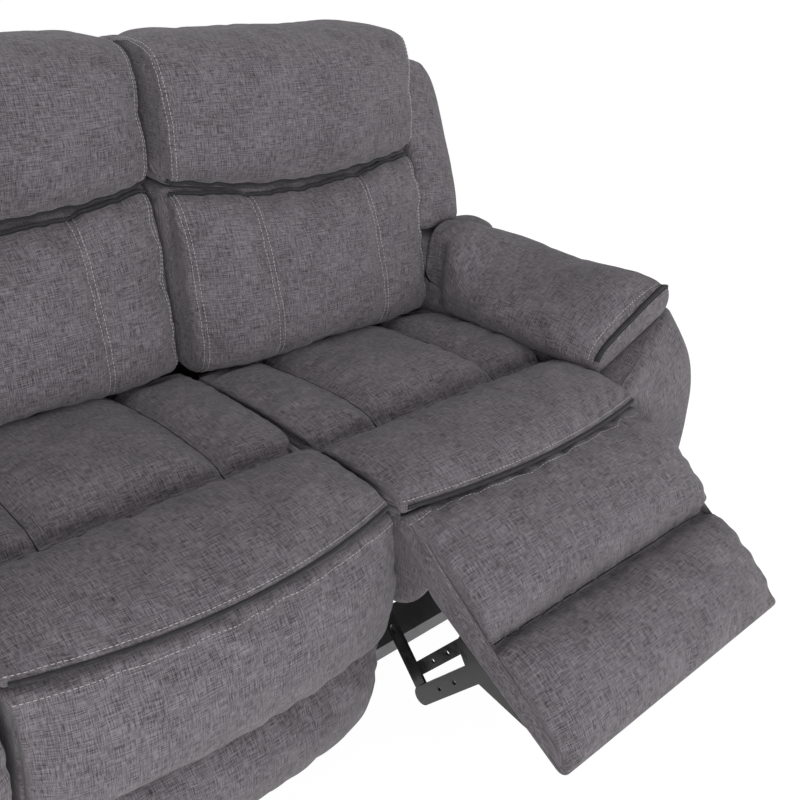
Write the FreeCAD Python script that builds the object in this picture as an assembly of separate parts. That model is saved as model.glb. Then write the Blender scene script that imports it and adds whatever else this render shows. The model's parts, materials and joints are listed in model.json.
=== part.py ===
import FreeCAD, Part
import math
import os

# Three-seat reclining sofa. Millimetres, +Z up, +X to the sitter's left when facing the sofa,
# the open front looks along -Y. The right end seat is shown with its footrest part way out.

# Overall sizes
seat_pitch = 550.0
arm_width = 230.0
foot_height = 45.0
side_gap = 1.5
seat_half = seat_pitch / 2 - side_gap
arm_inner = 1.5 * seat_pitch
arm_outer = arm_inner + arm_width

# Timber, plate and foam thicknesses
board = 16.0
rail_thickness = 22.0
plate = 4.0
link_gap = 0.5

# Seat cushion and its timber frame
cushion_bottom = 342.0
webbing_thickness = 2.0
rail_top = cushion_bottom - webbing_thickness
rail_height = 50.0
frame_front = 76.0
frame_depth = 508.0
frame_rear = frame_front + frame_depth
rail_outer = 232.0
welt_height = 463.0
seam_height = 468.0
seam_depth = 200.0
junction_depth = 512.0
cushion_rear = 545.0
nose_bow = 22.0
nose_end = 8.0
seat_crown = 16.0
channel_offset = 138.0
channel_sink = 7.0

# Footrest: hinge axis, pad and board, seen closed
hinge_y = 5.0
hinge_z = 430.0
pad_radius = 24.5
pad_clearance = 2.5
pad_back = 46.0
pad_length = 368.0
crease = 188.0
pad_half = seat_half - 1.5
pad_crown = 8.0
board_top = 80.0
board_half = 229.0
hinge_plane = 190.0
hinge_arm = 8.0
hinge_pin = 5.0
hinge_reach = 13.0

# Footrest travel, in degrees from closed
shown_angle = 61.7
full_angle = 85.0
carriage_travel = 47.9

# Linkage pivots with the footrest at the shown angle and the carriage back
drive_y = 102.0
drive_z = 275.0
elbow_y = -27.3
elbow_z = 142.4
tip_y = -127.8
tip_z = 259.6
drive_ratio = 1.12
channel_ratio = -0.108
upper_share = 0.8
link_width = 28.0
channel_width = 30.0
upper_width = 21.0
pivot_radius = 5.0
tube_radius = 7.5
pivot_slack = 7.0

# Back: hinge, frame lines and cushions
back_pivot_y = 590.0
back_pivot_z = 400.0
back_line_y = 640.0
back_line_z = 400.0
back_slope = 100.0 / 540.0
rear_line_y = 771.0
rear_line_z = 345.0
rear_slope = 66.0 / 600.0
panel_thickness = 12.0
post_outer = 227.5
lumbar_bottom = 476.0
bracket_top = 520.0
head_seam = 776.0
head_top = 989.0
back_top = head_top - 43.0
back_rail_height = 60.0
back_rail_depth = 20.0
lumbar_crown = 28.0
head_crown = 26.0
stitch_offset = 122.0

# Wing that reaches over the arm behind its pad
wing_width = 140.0
wing_top = head_top - 51.0
wing_lean = 0.26
wing_clearance = 3.0
arm_arc = 214.0
wing_start = 97.0
wing_end = 32.0

# Arm
arm_slope_low = 470.0
arm_slope = 78.0 / 190.0
arm_pad_front = 66.0
arm_pad_rear = 510.0
arm_pad_width = 192.0
arm_pad_crest = 96.0
arm_pad_rear_crest = 62.0
arm_pad_bulge = 30.0
arm_rear = 805.0
arm_shell = 30.0
arm_front = 60.0
arm_lid = 380.0

# Base
rail_z = foot_height
cross_height = 26.0
cross_depth = 74.0
cross_front = 116.0
cross_rear = 640.0
tube_wall = 2.5
track_height = 30.0
track_inner = 206.0
track_width = 24.0
partition = 18.0
partition_front = frame_front - 9.0
partition_rear = 600.0
partition_top = 330.0
rear_rail_front = 770.0
rear_rail_top = 280.0
valance_thickness = 8.0
valance_top = 330.0
foot_radius = 27.0

# Release lever on the outer arm panel
lever_y = 190.0
lever_z = 400.0
lever_length = 92.0
lever_width = 28.0
lever_thickness = 9.0
bezel_thickness = 3.0

side_names = {-1: "left", 1: "right"}
open_angle = {-1: 0.0, 1: shown_angle}
nodes = {}


def add(name, *shapes):
    nodes.setdefault(name, []).extend(shapes)


def box(x0, x1, y0, y1, z0, z1):
    return Part.makeBox(x1 - x0, y1 - y0, z1 - z0, FreeCAD.Vector(x0, y0, z0))


def wire_yz(x, path):
    # A point is a corner; an entry of two points is an arc through the first to the second.
    edges = []
    first = path[0]
    here = first
    for step in list(path[1:]) + [first]:
        start = FreeCAD.Vector(x, here[0], here[1])
        if isinstance(step[0], tuple):
            middle = FreeCAD.Vector(x, step[0][0], step[0][1])
            end = FreeCAD.Vector(x, step[1][0], step[1][1])
            edges.append(Part.Arc(start, middle, end).toShape())
            here = step[1]
        else:
            end = FreeCAD.Vector(x, step[0], step[1])
            if (end - start).Length > 0.001:
                edges.append(Part.LineSegment(start, end).toShape())
            here = step
    return Part.Wire(edges)


def slab(x0, x1, path):
    face = Part.Face(wire_yz(x0, path))
    return face.extrude(FreeCAD.Vector(x1 - x0, 0, 0))


def loft_across(sections):
    wires = [wire_yz(x, path) for x, path in sections]
    return Part.makeLoft(wires, True, True)


def pair(centre, inner, outer, path):
    # The same plate on both sides of a seat.
    return [slab(centre - outer, centre - inner, path), slab(centre + inner, centre + outer, path)]


def disc(x0, x1, y, z, radius):
    return Part.makeCylinder(radius, x1 - x0, FreeCAD.Vector(x0, y, z), FreeCAD.Vector(1, 0, 0))


def discs(centre, inner, outer, y, z, radius):
    far = disc(centre - outer, centre - inner, y, z, radius)
    return [far, disc(centre + inner, centre + outer, y, z, radius)]


def cut_all(shape, tools):
    for tool in tools:
        shape = shape.cut(tool)
    return shape


def swing(y, z, centre_y, centre_z, degrees):
    # Opening turns a point that hangs down forwards and up.
    angle = math.radians(degrees)
    dy = y - centre_y
    dz = z - centre_z
    turned_y = centre_y + dy * math.cos(angle) + dz * math.sin(angle)
    turned_z = centre_z - dy * math.sin(angle) + dz * math.cos(angle)
    return turned_y, turned_z


def swing_shape(shape, centre_y, centre_z, degrees):
    turned = shape.copy()
    turned.rotate(FreeCAD.Vector(0, centre_y, centre_z), FreeCAD.Vector(1, 0, 0), -degrees)
    return turned


def slide_shape(shape, distance):
    moved = shape.copy()
    moved.translate(FreeCAD.Vector(0, -distance, 0))
    return moved


def carriage_shift(angle):
    return carriage_travel * angle / full_angle


def back_line(z):
    return back_line_y + (z - back_line_z) * back_slope


def rear_line(z):
    return rear_line_y + (z - rear_line_z) * rear_slope


def round_bar(y0, z0, y1, z1, width):
    # Outline of a bar with round ends between two pivots.
    length = math.hypot(y1 - y0, z1 - z0)
    uy = (y1 - y0) / length
    uz = (z1 - z0) / length
    r = width / 2
    a = (y0 - uz * r, z0 + uy * r)
    b = (y1 - uz * r, z1 + uy * r)
    c = (y1 + uz * r, z1 - uy * r)
    d = (y0 + uz * r, z0 - uy * r)
    return [a, b, ((y1 + uy * r, z1 + uz * r), c), d, ((y0 - uy * r, z0 - uz * r), a)]


# Sizes that several pieces share
seat_rail_bottom = rail_top - rail_height
post_inner = post_outer - rail_thickness
cross_top = rail_z + cross_height
track_top = cross_top + track_height
plate_outer = rail_outer + plate
upper_inner = plate_outer + link_gap
upper_outer = upper_inner + plate
drive_inner = upper_outer + link_gap
drive_outer = drive_inner + plate
lower_inner = drive_outer + link_gap
lower_outer = lower_inner + plate + 1.0
bracket_inner = lower_outer + link_gap
bracket_outer = bracket_inner + plate
upper_elbow_y = drive_y + upper_share * (elbow_y - drive_y)
upper_elbow_z = drive_z + upper_share * (elbow_z - drive_z)
upper_tip_y = hinge_y + upper_share * (tip_y - hinge_y)
upper_tip_z = hinge_z + upper_share * (tip_z - hinge_z)


def seat_section(bow, crown, inset, sink):
    nose = nose_end - bow + inset
    clear = pad_radius + pad_clearance
    top = seam_height - sink - inset * 0.6
    rise = crown - inset
    under = (hinge_y - 2.0, hinge_z + clear)
    side = (hinge_y + clear, hinge_z)
    shoulder = (hinge_y + clear * 0.77, hinge_z + clear * 0.64)
    return [
        (cushion_rear, cushion_bottom),
        (frame_front + 36.0, cushion_bottom),
        (frame_front + 36.0, cushion_bottom + 10.0),
        side,
        (shoulder, under),
        (min(nose + 4.0, under[0] - 1.0), welt_height - 1.0),
        ((nose, welt_height + 3.0), (nose + 6.0, welt_height + 8.0 - inset * 0.4)),
        ((seam_depth * 0.5, top + rise), (seam_depth, top - 2.0)),
        ((0.5 * (seam_depth + junction_depth), top + rise * 0.8), (junction_depth, top - 6.0)),
        (cushion_rear, top - 26.0),
    ]


def across_seat(half, groove):
    # Offsets from the seat's centre line: edge, shoulder, outer channel, sewn groove, middle channel.
    return [-half, -half + 10.0, -(half + groove) / 2, -groove, -groove / 2, 0.0,
            groove / 2, groove, (half + groove) / 2, half - 10.0, half]


def shape_factors(offset, half, groove):
    # How far a section is drawn in, how much of the crown it has, and how deep a sewn groove is.
    reach = abs(offset) / half
    inset = 12.0 if reach > 0.995 else (3.0 if reach > 0.95 else 0.0)
    in_groove = 1.0 if abs(abs(offset) - groove) < 0.01 else 0.0
    crown = (1.0 - reach * reach) * (1.0 - 0.6 * in_groove)
    return inset, crown, in_groove


def seat_cushion(centre):
    sections = []
    for offset in across_seat(seat_half, channel_offset):
        inset, crown, in_groove = shape_factors(offset, seat_half, channel_offset)
        reach = abs(offset) / seat_half
        bow = nose_bow * (1.0 - reach * reach)
        rise = seat_crown * (0.55 + 0.45 * crown) * (1.0 - 0.7 * in_groove)
        path = seat_section(bow, rise, inset, channel_sink * in_groove)
        sections.append((centre + offset, path))
    return loft_across(sections)


def pad_point(u, w):
    # u runs down the closed pad from the hinge, w stands out of it towards the front.
    return (hinge_y - w, hinge_z - u)


def pad_section(crown, inset):
    r = pad_radius
    front = 33.0 + crown - inset
    low = 13.0 + crown * 1.4 - inset
    tail = pad_length - inset * 0.6
    return [
        pad_point(board_top, -pad_back),
        pad_point(r * 0.49, -r * 0.87),
        (pad_point(-r * 0.57, -r * 0.82), pad_point(-r, 0.0)),
        (pad_point(-r * 0.71, r * 0.71), pad_point(0.0, r)),
        (pad_point(88.0, front), pad_point(crease - 8.0, 10.0 - inset)),
        pad_point(crease, -4.0 - inset),
        (pad_point(268.0, low), pad_point(tail - 14.0, -18.0 - inset * 0.5)),
        (pad_point(tail, -30.0), pad_point(tail - 4.0, -pad_back)),
    ]


def footrest_pad(centre, hinged):
    sections = []
    for share in (-1.0, -0.96, -0.75, -0.4, 0.0, 0.4, 0.75, 0.96, 1.0):
        inset = 12.0 if abs(share) > 0.99 else (3.0 if abs(share) > 0.9 else 0.0)
        sections.append((centre + share * pad_half, pad_section(pad_crown * (1.0 - share * share), inset)))
    pad = loft_across(sections)
    if hinged:
        slot = hinge_arm / 2 + plate + link_gap + 1.5
        low = pad_point(board_top + 2.0, hinge_reach + 1.5)
        high = pad_point(-pad_radius - 3.0, -pad_back - 14.0)
        for side in (-1, 1):
            middle = centre + side * hinge_plane
            pad = pad.cut(box(middle - slot, middle + slot, low[0], high[0], low[1], high[1]))
    return pad


def footrest_board(centre):
    front = hinge_y + pad_back
    top = hinge_z - board_top
    bottom = hinge_z - pad_length + 14.0
    return box(centre - board_half, centre + board_half, front, front + board, bottom, top)


def hinge_ears(centre):
    end = hinge_z - board_top
    back = hinge_y + pad_back
    path = [
        (hinge_y + 4.0, hinge_z + 10.0),
        (hinge_y - 10.0, hinge_z + 5.0),
        (hinge_y - 9.0, hinge_z - 7.0),
        (back + 1.5, end),
        (back + board - 1.5, end),
        (hinge_y + 12.0, hinge_z + 1.0),
    ]
    near = hinge_arm / 2 + link_gap
    far = near + plate
    shapes = []
    for side in (-1, 1):
        middle = centre + side * hinge_plane
        shapes.append(slab(middle - far, middle - near, path))
        shapes.append(slab(middle + near, middle + far, path))
        shapes.append(disc(middle - near, middle + near, hinge_y, hinge_z, hinge_pin))
    return shapes


def hinge_arms(centre):
    path = [
        (hinge_y - 9.0, hinge_z - 9.0),
        (hinge_y - 9.0, hinge_z + 9.0),
        (hinge_y + 7.0, hinge_z + 11.0),
        (frame_front + 20.0, rail_top + 20.0),
        (frame_front + 20.0, rail_top),
        (frame_front + 1.0, rail_top),
        (frame_front - 3.0, rail_top + 18.0),
    ]
    shapes = []
    for side in (-1, 1):
        middle = centre + side * hinge_plane
        arm = slab(middle - hinge_arm / 2, middle + hinge_arm / 2, path)
        shapes.append(arm.cut(disc(middle - 20.0, middle + 20.0, hinge_y, hinge_z, hinge_pin + 0.3)))
    return shapes


def closed_point(y, z):
    # Where a point of the footrest lies closed, from its place at the shown angle.
    return swing(y, z, hinge_y, hinge_z, -shown_angle)


def footrest_brackets(centre):
    tip = closed_point(tip_y, tip_z)
    upper = closed_point(upper_tip_y, upper_tip_z)
    back = hinge_y + pad_back + board
    path = [
        (back, hinge_z - crease - 2.0),
        (upper[0] - 6.0, upper[1] + 12.0),
        (upper[0] + 9.0, upper[1] + 9.0),
        (tip[0] + 13.0, tip[1] + 6.0),
        (tip[0] + 6.0, tip[1] - 14.0),
        (back + plate, hinge_z - crease - 100.0),
        (back, hinge_z - crease - 110.0),
    ]
    shapes = pair(centre, bracket_inner, bracket_outer, path)
    for side in (-1, 1):
        inner = centre + side * (board_half - 40.0)
        outer = centre + side * bracket_outer
        low = hinge_z - crease - 100.0
        flange = box(min(inner, outer), max(inner, outer), back, back + plate, low, low + 84.0)
        shapes.append(flange)
    merged = [shapes[0].fuse(shapes[2]).removeSplitter(), shapes[1].fuse(shapes[3]).removeSplitter()]
    pins = discs(centre, lower_inner, bracket_inner, tip[0], tip[1], pivot_radius)
    pins += discs(centre, upper_inner, bracket_inner, upper[0], upper[1], pivot_radius)
    return merged + pins


def drive_links(centre):
    bars = pair(centre, drive_inner, drive_outer, round_bar(drive_y, drive_z, elbow_y, elbow_z, link_width))
    windows = discs(centre, drive_inner - 1, drive_outer + 1, drive_y + 0.42 * (elbow_y - drive_y),
                    drive_z + 0.42 * (elbow_z - drive_z), 7.0)
    bars = [bar.cut(window) for bar, window in zip(bars, windows)]
    bars = [cut_all(bar, discs(centre, drive_inner - 1, drive_outer + 1, drive_y, drive_z, tube_radius))
            for bar in bars]
    tube = disc(centre - drive_outer - 2.0, centre + drive_outer + 2.0, drive_y, drive_z, tube_radius)
    bore = disc(centre - drive_outer - 3.0, centre + drive_outer + 3.0, drive_y, drive_z, tube_radius - 2.5)
    pins = discs(centre, drive_outer, lower_outer, elbow_y, elbow_z, pivot_radius)
    pins += discs(centre, upper_inner, drive_inner, upper_elbow_y, upper_elbow_z, pivot_radius)
    return bars + [tube.cut(bore)] + pins


def channel(centre, inner, outer, low, high, width):
    # A pressed channel with a round pivot hole low down and a wide one at the pad bracket.
    y0, z0 = low
    y1, z1 = high
    bars = pair(centre, inner, outer, round_bar(y0, z0, y1, z1, width))
    tools = discs(centre, inner - 1, outer + 1, y0, z0, pivot_radius + 0.3)
    tools += discs(centre, inner - 1, outer + 1, y1, z1, pivot_radius + pivot_slack)
    for share in (0.33, 0.6):
        tools += discs(centre, inner - 1, outer + 1, y0 + share * (y1 - y0), z0 + share * (z1 - z0), 4.0)
    return [cut_all(bar, tools) for bar in bars]


def side_plates(centre):
    path = [
        (frame_front + 4.0, rail_top - 4.0),
        (frame_front + 4.0, drive_z - 20.0),
        (drive_y + 38.0, drive_z - 31.0),
        (280.0, 230.0),
        (310.0, track_top + 20.0),
        (550.0, track_top + 20.0),
        (576.0, 250.0),
        (back_pivot_y + 16.0, back_pivot_z - 8.0),
        (back_pivot_y + 10.0, back_pivot_z + 14.0),
        (back_pivot_y - 10.0, back_pivot_z + 14.0),
        (back_pivot_y - 24.0, rail_top),
        (back_pivot_y - 34.0, rail_top - 4.0),
    ]
    plates = pair(centre, rail_outer, plate_outer, path)
    tools = discs(centre, rail_outer - 1, plate_outer + 1, drive_y, drive_z, tube_radius + 0.4)
    tools += discs(centre, rail_outer - 1, plate_outer + 1, back_pivot_y, back_pivot_z, pivot_radius + 2.3)
    plates = [cut_all(item, tools) for item in plates]
    low = track_top + 0.5
    high = track_top + 34.0
    runner = [(330.0, low), (540.0, low), (540.0, high), (330.0, high)]
    return plates + pair(centre, track_inner + 2.0, rail_outer, runner)


def seat_frame(centre, outer):
    inner = outer - rail_thickness
    bottom = seat_rail_bottom
    shapes = [box(centre - outer, centre - inner, frame_front, frame_rear, bottom, rail_top)]
    shapes.append(box(centre + inner, centre + outer, frame_front, frame_rear, bottom, rail_top))
    for start in (frame_front, frame_rear - rail_thickness):
        shapes.append(box(centre - inner, centre + inner, start, start + rail_thickness, bottom, rail_top))
    return shapes


def seat_webbing(centre):
    straps = []
    for index in range(4):
        middle = centre + (index - 1.5) * 82.0
        straps.append(box(middle - 25.0, middle + 25.0, frame_front, frame_rear, rail_top, cushion_bottom))
    return straps


def lumbar_section(crown, inset):
    low = lumbar_bottom
    high = head_seam - 2.0
    return [
        (back_line(low), low),
        (509.0 + inset, low + 4.0 + inset * 0.3),
        ((532.0 - crown + inset, 626.0), (602.0 + inset - crown * 0.8, high - 3.0 - crown)),
        (back_line(high), high),
    ]


def head_section(crown, inset):
    low = head_seam + 2.0
    return [
        (back_line(low), low),
        (604.0 + inset - crown * 0.8, low + 3.0 - crown),
        ((604.0 - crown + inset, head_seam + 96.0), (630.0 + inset, head_top - 24.0 - inset)),
        ((650.0 + inset, head_top - 5.0 - inset), (700.0, head_top - inset)),
        (800.0, head_top - 3.0 - inset),
        ((843.0, head_top - 14.0 - inset), (rear_line(back_top) + panel_thickness, back_top)),
        (back_line(back_top), back_top),
    ]


def back_cushion(centre, section, depth):
    sections = []
    for offset in across_seat(seat_half, stitch_offset):
        inset, crown, in_groove = shape_factors(offset, seat_half, stitch_offset)
        swell = depth * (0.25 + 0.75 * crown) if inset == 0.0 else 0.0
        sections.append((centre + offset, section(swell, inset)))
    return loft_across(sections)


def back_frame(centre, standing):
    path = [
        (back_line(back_line_z), back_line_z),
        (back_line(back_top), back_top),
        (rear_line(back_top), back_top),
        (rear_line(rear_line_z), rear_line_z),
    ]
    if standing:
        path += [(rear_rail_front, rear_line_z - 6.0), (rear_rail_front, cross_top)]
        path += [(cross_rear + 58.0, cross_top), (cross_rear + 58.0, rear_line_z)]
    else:
        path += [(cross_rear + 60.0, rear_line_z)]
    shapes = pair(centre, post_inner, post_outer, path)
    for low in (back_line_z + 5.0, head_seam - 31.0, back_top - back_rail_height - 6.0):
        high = low + back_rail_height
        rail = [(back_line(low), low), (back_line(high), high), (back_line(high) + back_rail_depth, high),
                (back_line(low) + back_rail_depth, low)]
        shapes.append(slab(centre - post_inner, centre + post_inner, rail))
    return shapes


def back_panel(centre):
    path = [
        (rear_line(rear_line_z), rear_line_z),
        (rear_line(back_top), back_top),
        (rear_line(back_top) + panel_thickness, back_top),
        (rear_line(rear_line_z) + panel_thickness, rear_line_z),
    ]
    return slab(centre - seat_half, centre + seat_half, path)


def back_brackets(centre):
    path = [
        (back_pivot_y - 15.0, back_pivot_z),
        (back_pivot_y - 4.0, back_pivot_z + 15.0),
        (back_line(lumbar_bottom) - 8.0, lumbar_bottom - 7.0),
        (back_line(lumbar_bottom) + 2.0, lumbar_bottom),
        (back_line(bracket_top) + 2.0, bracket_top),
        (back_line(bracket_top) + 40.0, bracket_top),
        (back_line(back_line_z) + 64.0, back_line_z),
        (back_line(back_line_z) + 12.0, back_line_z - 18.0),
        (back_pivot_y, back_pivot_z - 16.0),
    ]
    outer = post_outer + plate
    shapes = pair(centre, post_outer, outer, path)
    return shapes + discs(centre, outer, plate_outer + 3.0, back_pivot_y, back_pivot_z, pivot_radius + 2.0)


def wing_point(degrees, radius):
    angle = math.radians(degrees)
    return (back_pivot_y + radius * math.cos(angle), back_pivot_z + radius * math.sin(angle))


def wing_section(top, inset):
    # The inset rounds the wing's outer front edge.
    radius = arm_arc + wing_clearance
    front = wing_point(wing_start - math.degrees(inset / radius), radius)
    rear = wing_point(wing_end, radius)
    front_top = front[0] + (top - front[1]) * wing_lean
    rear_low = rear_line(rear[1]) + panel_thickness - inset * 0.3
    rear_top = rear_line(top) + panel_thickness - inset * 0.3
    middle = wing_point((wing_start + wing_end) / 2, radius)
    return [
        front,
        (middle, rear),
        (rear_low, rear[1] + 4.0),
        (rear_top, top - 6.0),
        ((0.5 * (rear_top + front_top), top + 4.0), (front_top, top - 8.0)),
        ((0.5 * (front[0] + front_top) - 8.0, 0.5 * (front[1] + top)), front),
    ]


def back_wing(side):
    start = arm_inner - side_gap
    sections = []
    for back, drop, inset in ((wing_width, 0.0, 0.0), (80.0, 9.0, 0.0), (35.0, 54.0, 8.0),
                              (12.0, 113.0, 28.0), (0.0, 198.0, 55.0)):
        reach = wing_width - back
        sections.append((side * (start + reach), wing_section(wing_top - drop, inset)))
    return loft_across(sections)


def arm_slope_at(across):
    return arm_slope_low + across * arm_slope


def arm_outline(inset):
    shelf = back_pivot_y - carriage_travel
    lip = arm_slope_at(arm_width) + 4.0
    return [
        (28.0 + inset, foot_height),
        ((-9.0 + inset, 190.0), (-12.0 + inset, 350.0)),
        ((6.0 + inset, 480.0), (52.0 + inset, 545.0)),
        (52.0 + inset, lip),
        (arm_pad_rear, lip),
        (arm_pad_rear, back_pivot_z + arm_arc - 1.0 - inset),
        (shelf, back_pivot_z + arm_arc - 1.0 - inset),
        ((shelf + (arm_arc - 1.0 - inset) * 0.707, back_pivot_z + (arm_arc - 1.0 - inset) * 0.707),
         (shelf + arm_arc - 1.0 - inset, back_pivot_z)),
        (arm_rear - inset, back_pivot_z),
        (arm_rear - inset, foot_height),
    ]


def arm_cover(side):
    sections = []
    for across, inset in ((0.0, 8.0), (16.0, 1.0), (60.0, 0.0), (arm_width - 60.0, 0.0),
                          (arm_width - 16.0, 1.0), (arm_width, 10.0)):
        sections.append((side * (arm_inner + across), arm_outline(inset)))
    cover = loft_across(sections)
    wedge = []
    for across, z in ((-10.0, arm_slope_at(-10.0)), (arm_width + 10.0, arm_slope_at(arm_width + 10.0)),
                      (arm_width + 10.0, 700.0), (-10.0, 700.0)):
        wedge.append(FreeCAD.Vector(side * (arm_inner + across), -100.0, z))
    wedge.append(wedge[0])
    prism = Part.Face(Part.makePolygon(wedge)).extrude(FreeCAD.Vector(0, arm_pad_rear + 100.0, 0))
    low = arm_inner + arm_shell
    high = arm_outer - arm_shell
    ends = sorted((side * low, side * high))
    cavity = box(ends[0], ends[1], arm_front, arm_rear - arm_shell, foot_height + 15.0, arm_lid)
    return cover.cut(prism).cut(cavity)


def arm_frame(side):
    low = arm_inner + arm_shell
    high = arm_outer - arm_shell
    rear = arm_rear - arm_shell
    bottom = foot_height + 15.0
    shapes = []
    for start in (low, high - partition):
        ends = sorted((side * start, side * (start + partition)))
        shapes.append(box(ends[0], ends[1], arm_front, rear, bottom, arm_lid))
    ends = sorted((side * (low + partition), side * (high - partition)))
    for start in (arm_front, rear - partition):
        shapes.append(box(ends[0], ends[1], start, start + partition, bottom, arm_lid))
    for z in (bottom, arm_lid - partition):
        shapes.append(box(ends[0], ends[1], arm_front + partition, rear - partition, z, z + partition))
    return shapes


def arm_pad(side):
    # Sections across the arm, from its front to its rear: place, crown, edges, bulge over the seat, inset.
    wires = []
    for y, crown, outer_edge, inner_edge, bulge, inset in (
            (arm_pad_front, 568.0, 599.0, 514.0, 0.1, 10.0),
            (arm_pad_front + 12.0, 592.0, 606.0, 517.0, 0.5, 3.0),
            (120.0, 613.0, 609.0, 518.0, 1.0, 0.0),
            (300.0, 602.0, 592.0, 518.0, 1.0, 0.0),
            (405.0, 616.0, 596.0, 526.0, 1.0, 0.0),
            (452.0, 634.0, 598.0, 560.0, 0.0, 0.0),
            (arm_pad_rear - 12.0, 642.0, 598.0, 590.0, 0.0, 1.0),
            (arm_pad_rear - 0.3, 628.0, 588.0, 576.0, 0.0, 10.0)):
        inner = 2.0 + inset * 0.3
        outer = arm_pad_width - inset
        rear_share = min(max((y - 300.0) / 190.0, 0.0), 1.0)
        crest = arm_pad_crest + (arm_pad_rear_crest - arm_pad_crest) * rear_share
        lip = inner + 2.0 - bulge * (arm_pad_bulge + 2.0)
        points = [
            (inner, arm_slope_at(inner)),
            (outer, arm_slope_at(outer)),
            (outer + 9.0, arm_slope_at(outer) + 28.0),
            (outer - 12.0, outer_edge),
            (crest, crown),
            (lip, inner_edge),
            (lip + (inner - lip) * 0.22, arm_slope_at(inner) + 0.38 * (inner_edge - arm_slope_at(inner))),
        ]
        v = [FreeCAD.Vector(side * (arm_inner + a), y, z) for a, z in points]
        edges = [
            Part.LineSegment(v[0], v[1]).toShape(),
            Part.Arc(v[1], v[2], v[3]).toShape(),
            Part.Arc(v[3], v[4], v[5]).toShape(),
            Part.LineSegment(v[5], v[6]).toShape(),
            Part.LineSegment(v[6], v[0]).toShape(),
        ]
        wires.append(Part.Wire(edges))
    return Part.makeLoft(wires, True, True)


def cross_rail(front):
    # A rectangular steel tube between the arms.
    rear = front + cross_depth
    outer = box(-arm_inner, arm_inner, front, rear, rail_z, cross_top)
    low = rail_z + tube_wall
    high = cross_top - tube_wall
    return outer.cut(box(-arm_inner, arm_inner, front + tube_wall, rear - tube_wall, low, high))


def slide_track(start):
    end = start + track_width
    front = cross_front + 20.0
    rear = cross_rear + 30.0
    outer = box(start, end, front, rear, cross_top, track_top)
    low = cross_top + tube_wall
    high = track_top - tube_wall
    return outer.cut(box(start + tube_wall, end - tube_wall, front, rear, low, high))


def release_lever(side):
    x0 = arm_outer + bezel_thickness + 0.3
    x1 = x0 + lever_thickness
    path = round_bar(lever_y, lever_z, lever_y - lever_length, lever_z, lever_width)
    ends = sorted((side * x0, side * x1))
    return slab(ends[0], ends[1], path)


def lever_bezel(side):
    ends = sorted((side * arm_outer, side * (arm_outer + bezel_thickness)))
    path = round_bar(lever_y, lever_z, lever_y - lever_length - 8.0, lever_z, lever_width + 22.0)
    return slab(ends[0], ends[1], path)


def build_end_seat(side):
    name = side_names[side]
    centre = side * seat_pitch
    angle = open_angle[side]
    shift = carriage_shift(angle)
    past = angle - shown_angle

    def on_carriage(node, shapes):
        add(name + "_" + node, *[slide_shape(shape, shift) for shape in shapes])

    def on_footrest(node, shapes):
        turned = [swing_shape(shape, hinge_y, hinge_z, angle) for shape in shapes]
        on_carriage(node, turned)

    on_carriage("seat_frame", seat_frame(centre, rail_outer))
    on_carriage("seat_webbing", seat_webbing(centre))
    on_carriage("seat_cushion", [seat_cushion(centre)])
    on_carriage("side_plates", side_plates(centre) + hinge_arms(centre))
    on_carriage("back_frame", back_frame(centre, False))
    on_carriage("back_brackets", back_brackets(centre))
    on_carriage("lumbar_cushion", [back_cushion(centre, lumbar_section, lumbar_crown)])
    on_carriage("head_cushion", [back_cushion(centre, head_section, head_crown)])
    on_carriage("back_panel", [back_panel(centre)])
    on_carriage("back_wing", [back_wing(side)])
    on_footrest("footrest_board", [footrest_board(centre)])
    on_footrest("footrest_pad", [footrest_pad(centre, True)])
    on_footrest("footrest_brackets", footrest_brackets(centre) + hinge_ears(centre))
    links = [swing_shape(shape, drive_y, drive_z, drive_ratio * past) for shape in drive_links(centre)]
    on_carriage("drive_links", links)
    upper_low = (upper_elbow_y, upper_elbow_z)
    upper_high = (upper_tip_y, upper_tip_z)
    for label, inner, outer, low, high, width in (
            ("lower_channels", lower_inner, lower_outer, (elbow_y, elbow_z), (tip_y, tip_z), channel_width),
            ("upper_channels", upper_inner, upper_outer, upper_low, upper_high, upper_width)):
        bars = channel(centre, inner, outer, low, high, width)
        place = swing(low[0], low[1], drive_y, drive_z, drive_ratio * past)
        turned = []
        for bar in bars:
            bar = swing_shape(bar, low[0], low[1], channel_ratio * past)
            bar.translate(FreeCAD.Vector(0, place[0] - low[0], place[1] - low[1]))
            turned.append(bar)
        on_carriage(label, turned)
    add(name + "_arm_cover", arm_cover(side))
    add(name + "_arm_pad", arm_pad(side))
    add("arm_frames", *arm_frame(side))
    add(name + "_release_lever", release_lever(side))
    add("lever_bezels", lever_bezel(side))


def build_middle_seat():
    outer = seat_pitch / 2 - partition / 2
    add("middle_seat_frame", *seat_frame(0.0, outer))
    add("middle_seat_webbing", *seat_webbing(0.0))
    add("middle_seat_cushion", seat_cushion(0.0))
    front = hinge_y + pad_back
    half = outer + 4.0
    low = hinge_z - pad_length + 14.0
    add("middle_front_board", box(-half, half, front, front + board, low, hinge_z - board_top))
    add("middle_front_pad", footrest_pad(0.0, False))
    add("middle_back_frame", *back_frame(0.0, True))
    add("middle_lumbar_cushion", back_cushion(0.0, lumbar_section, lumbar_crown))
    add("middle_head_cushion", back_cushion(0.0, head_section, head_crown))
    add("middle_back_panel", back_panel(0.0))


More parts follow.
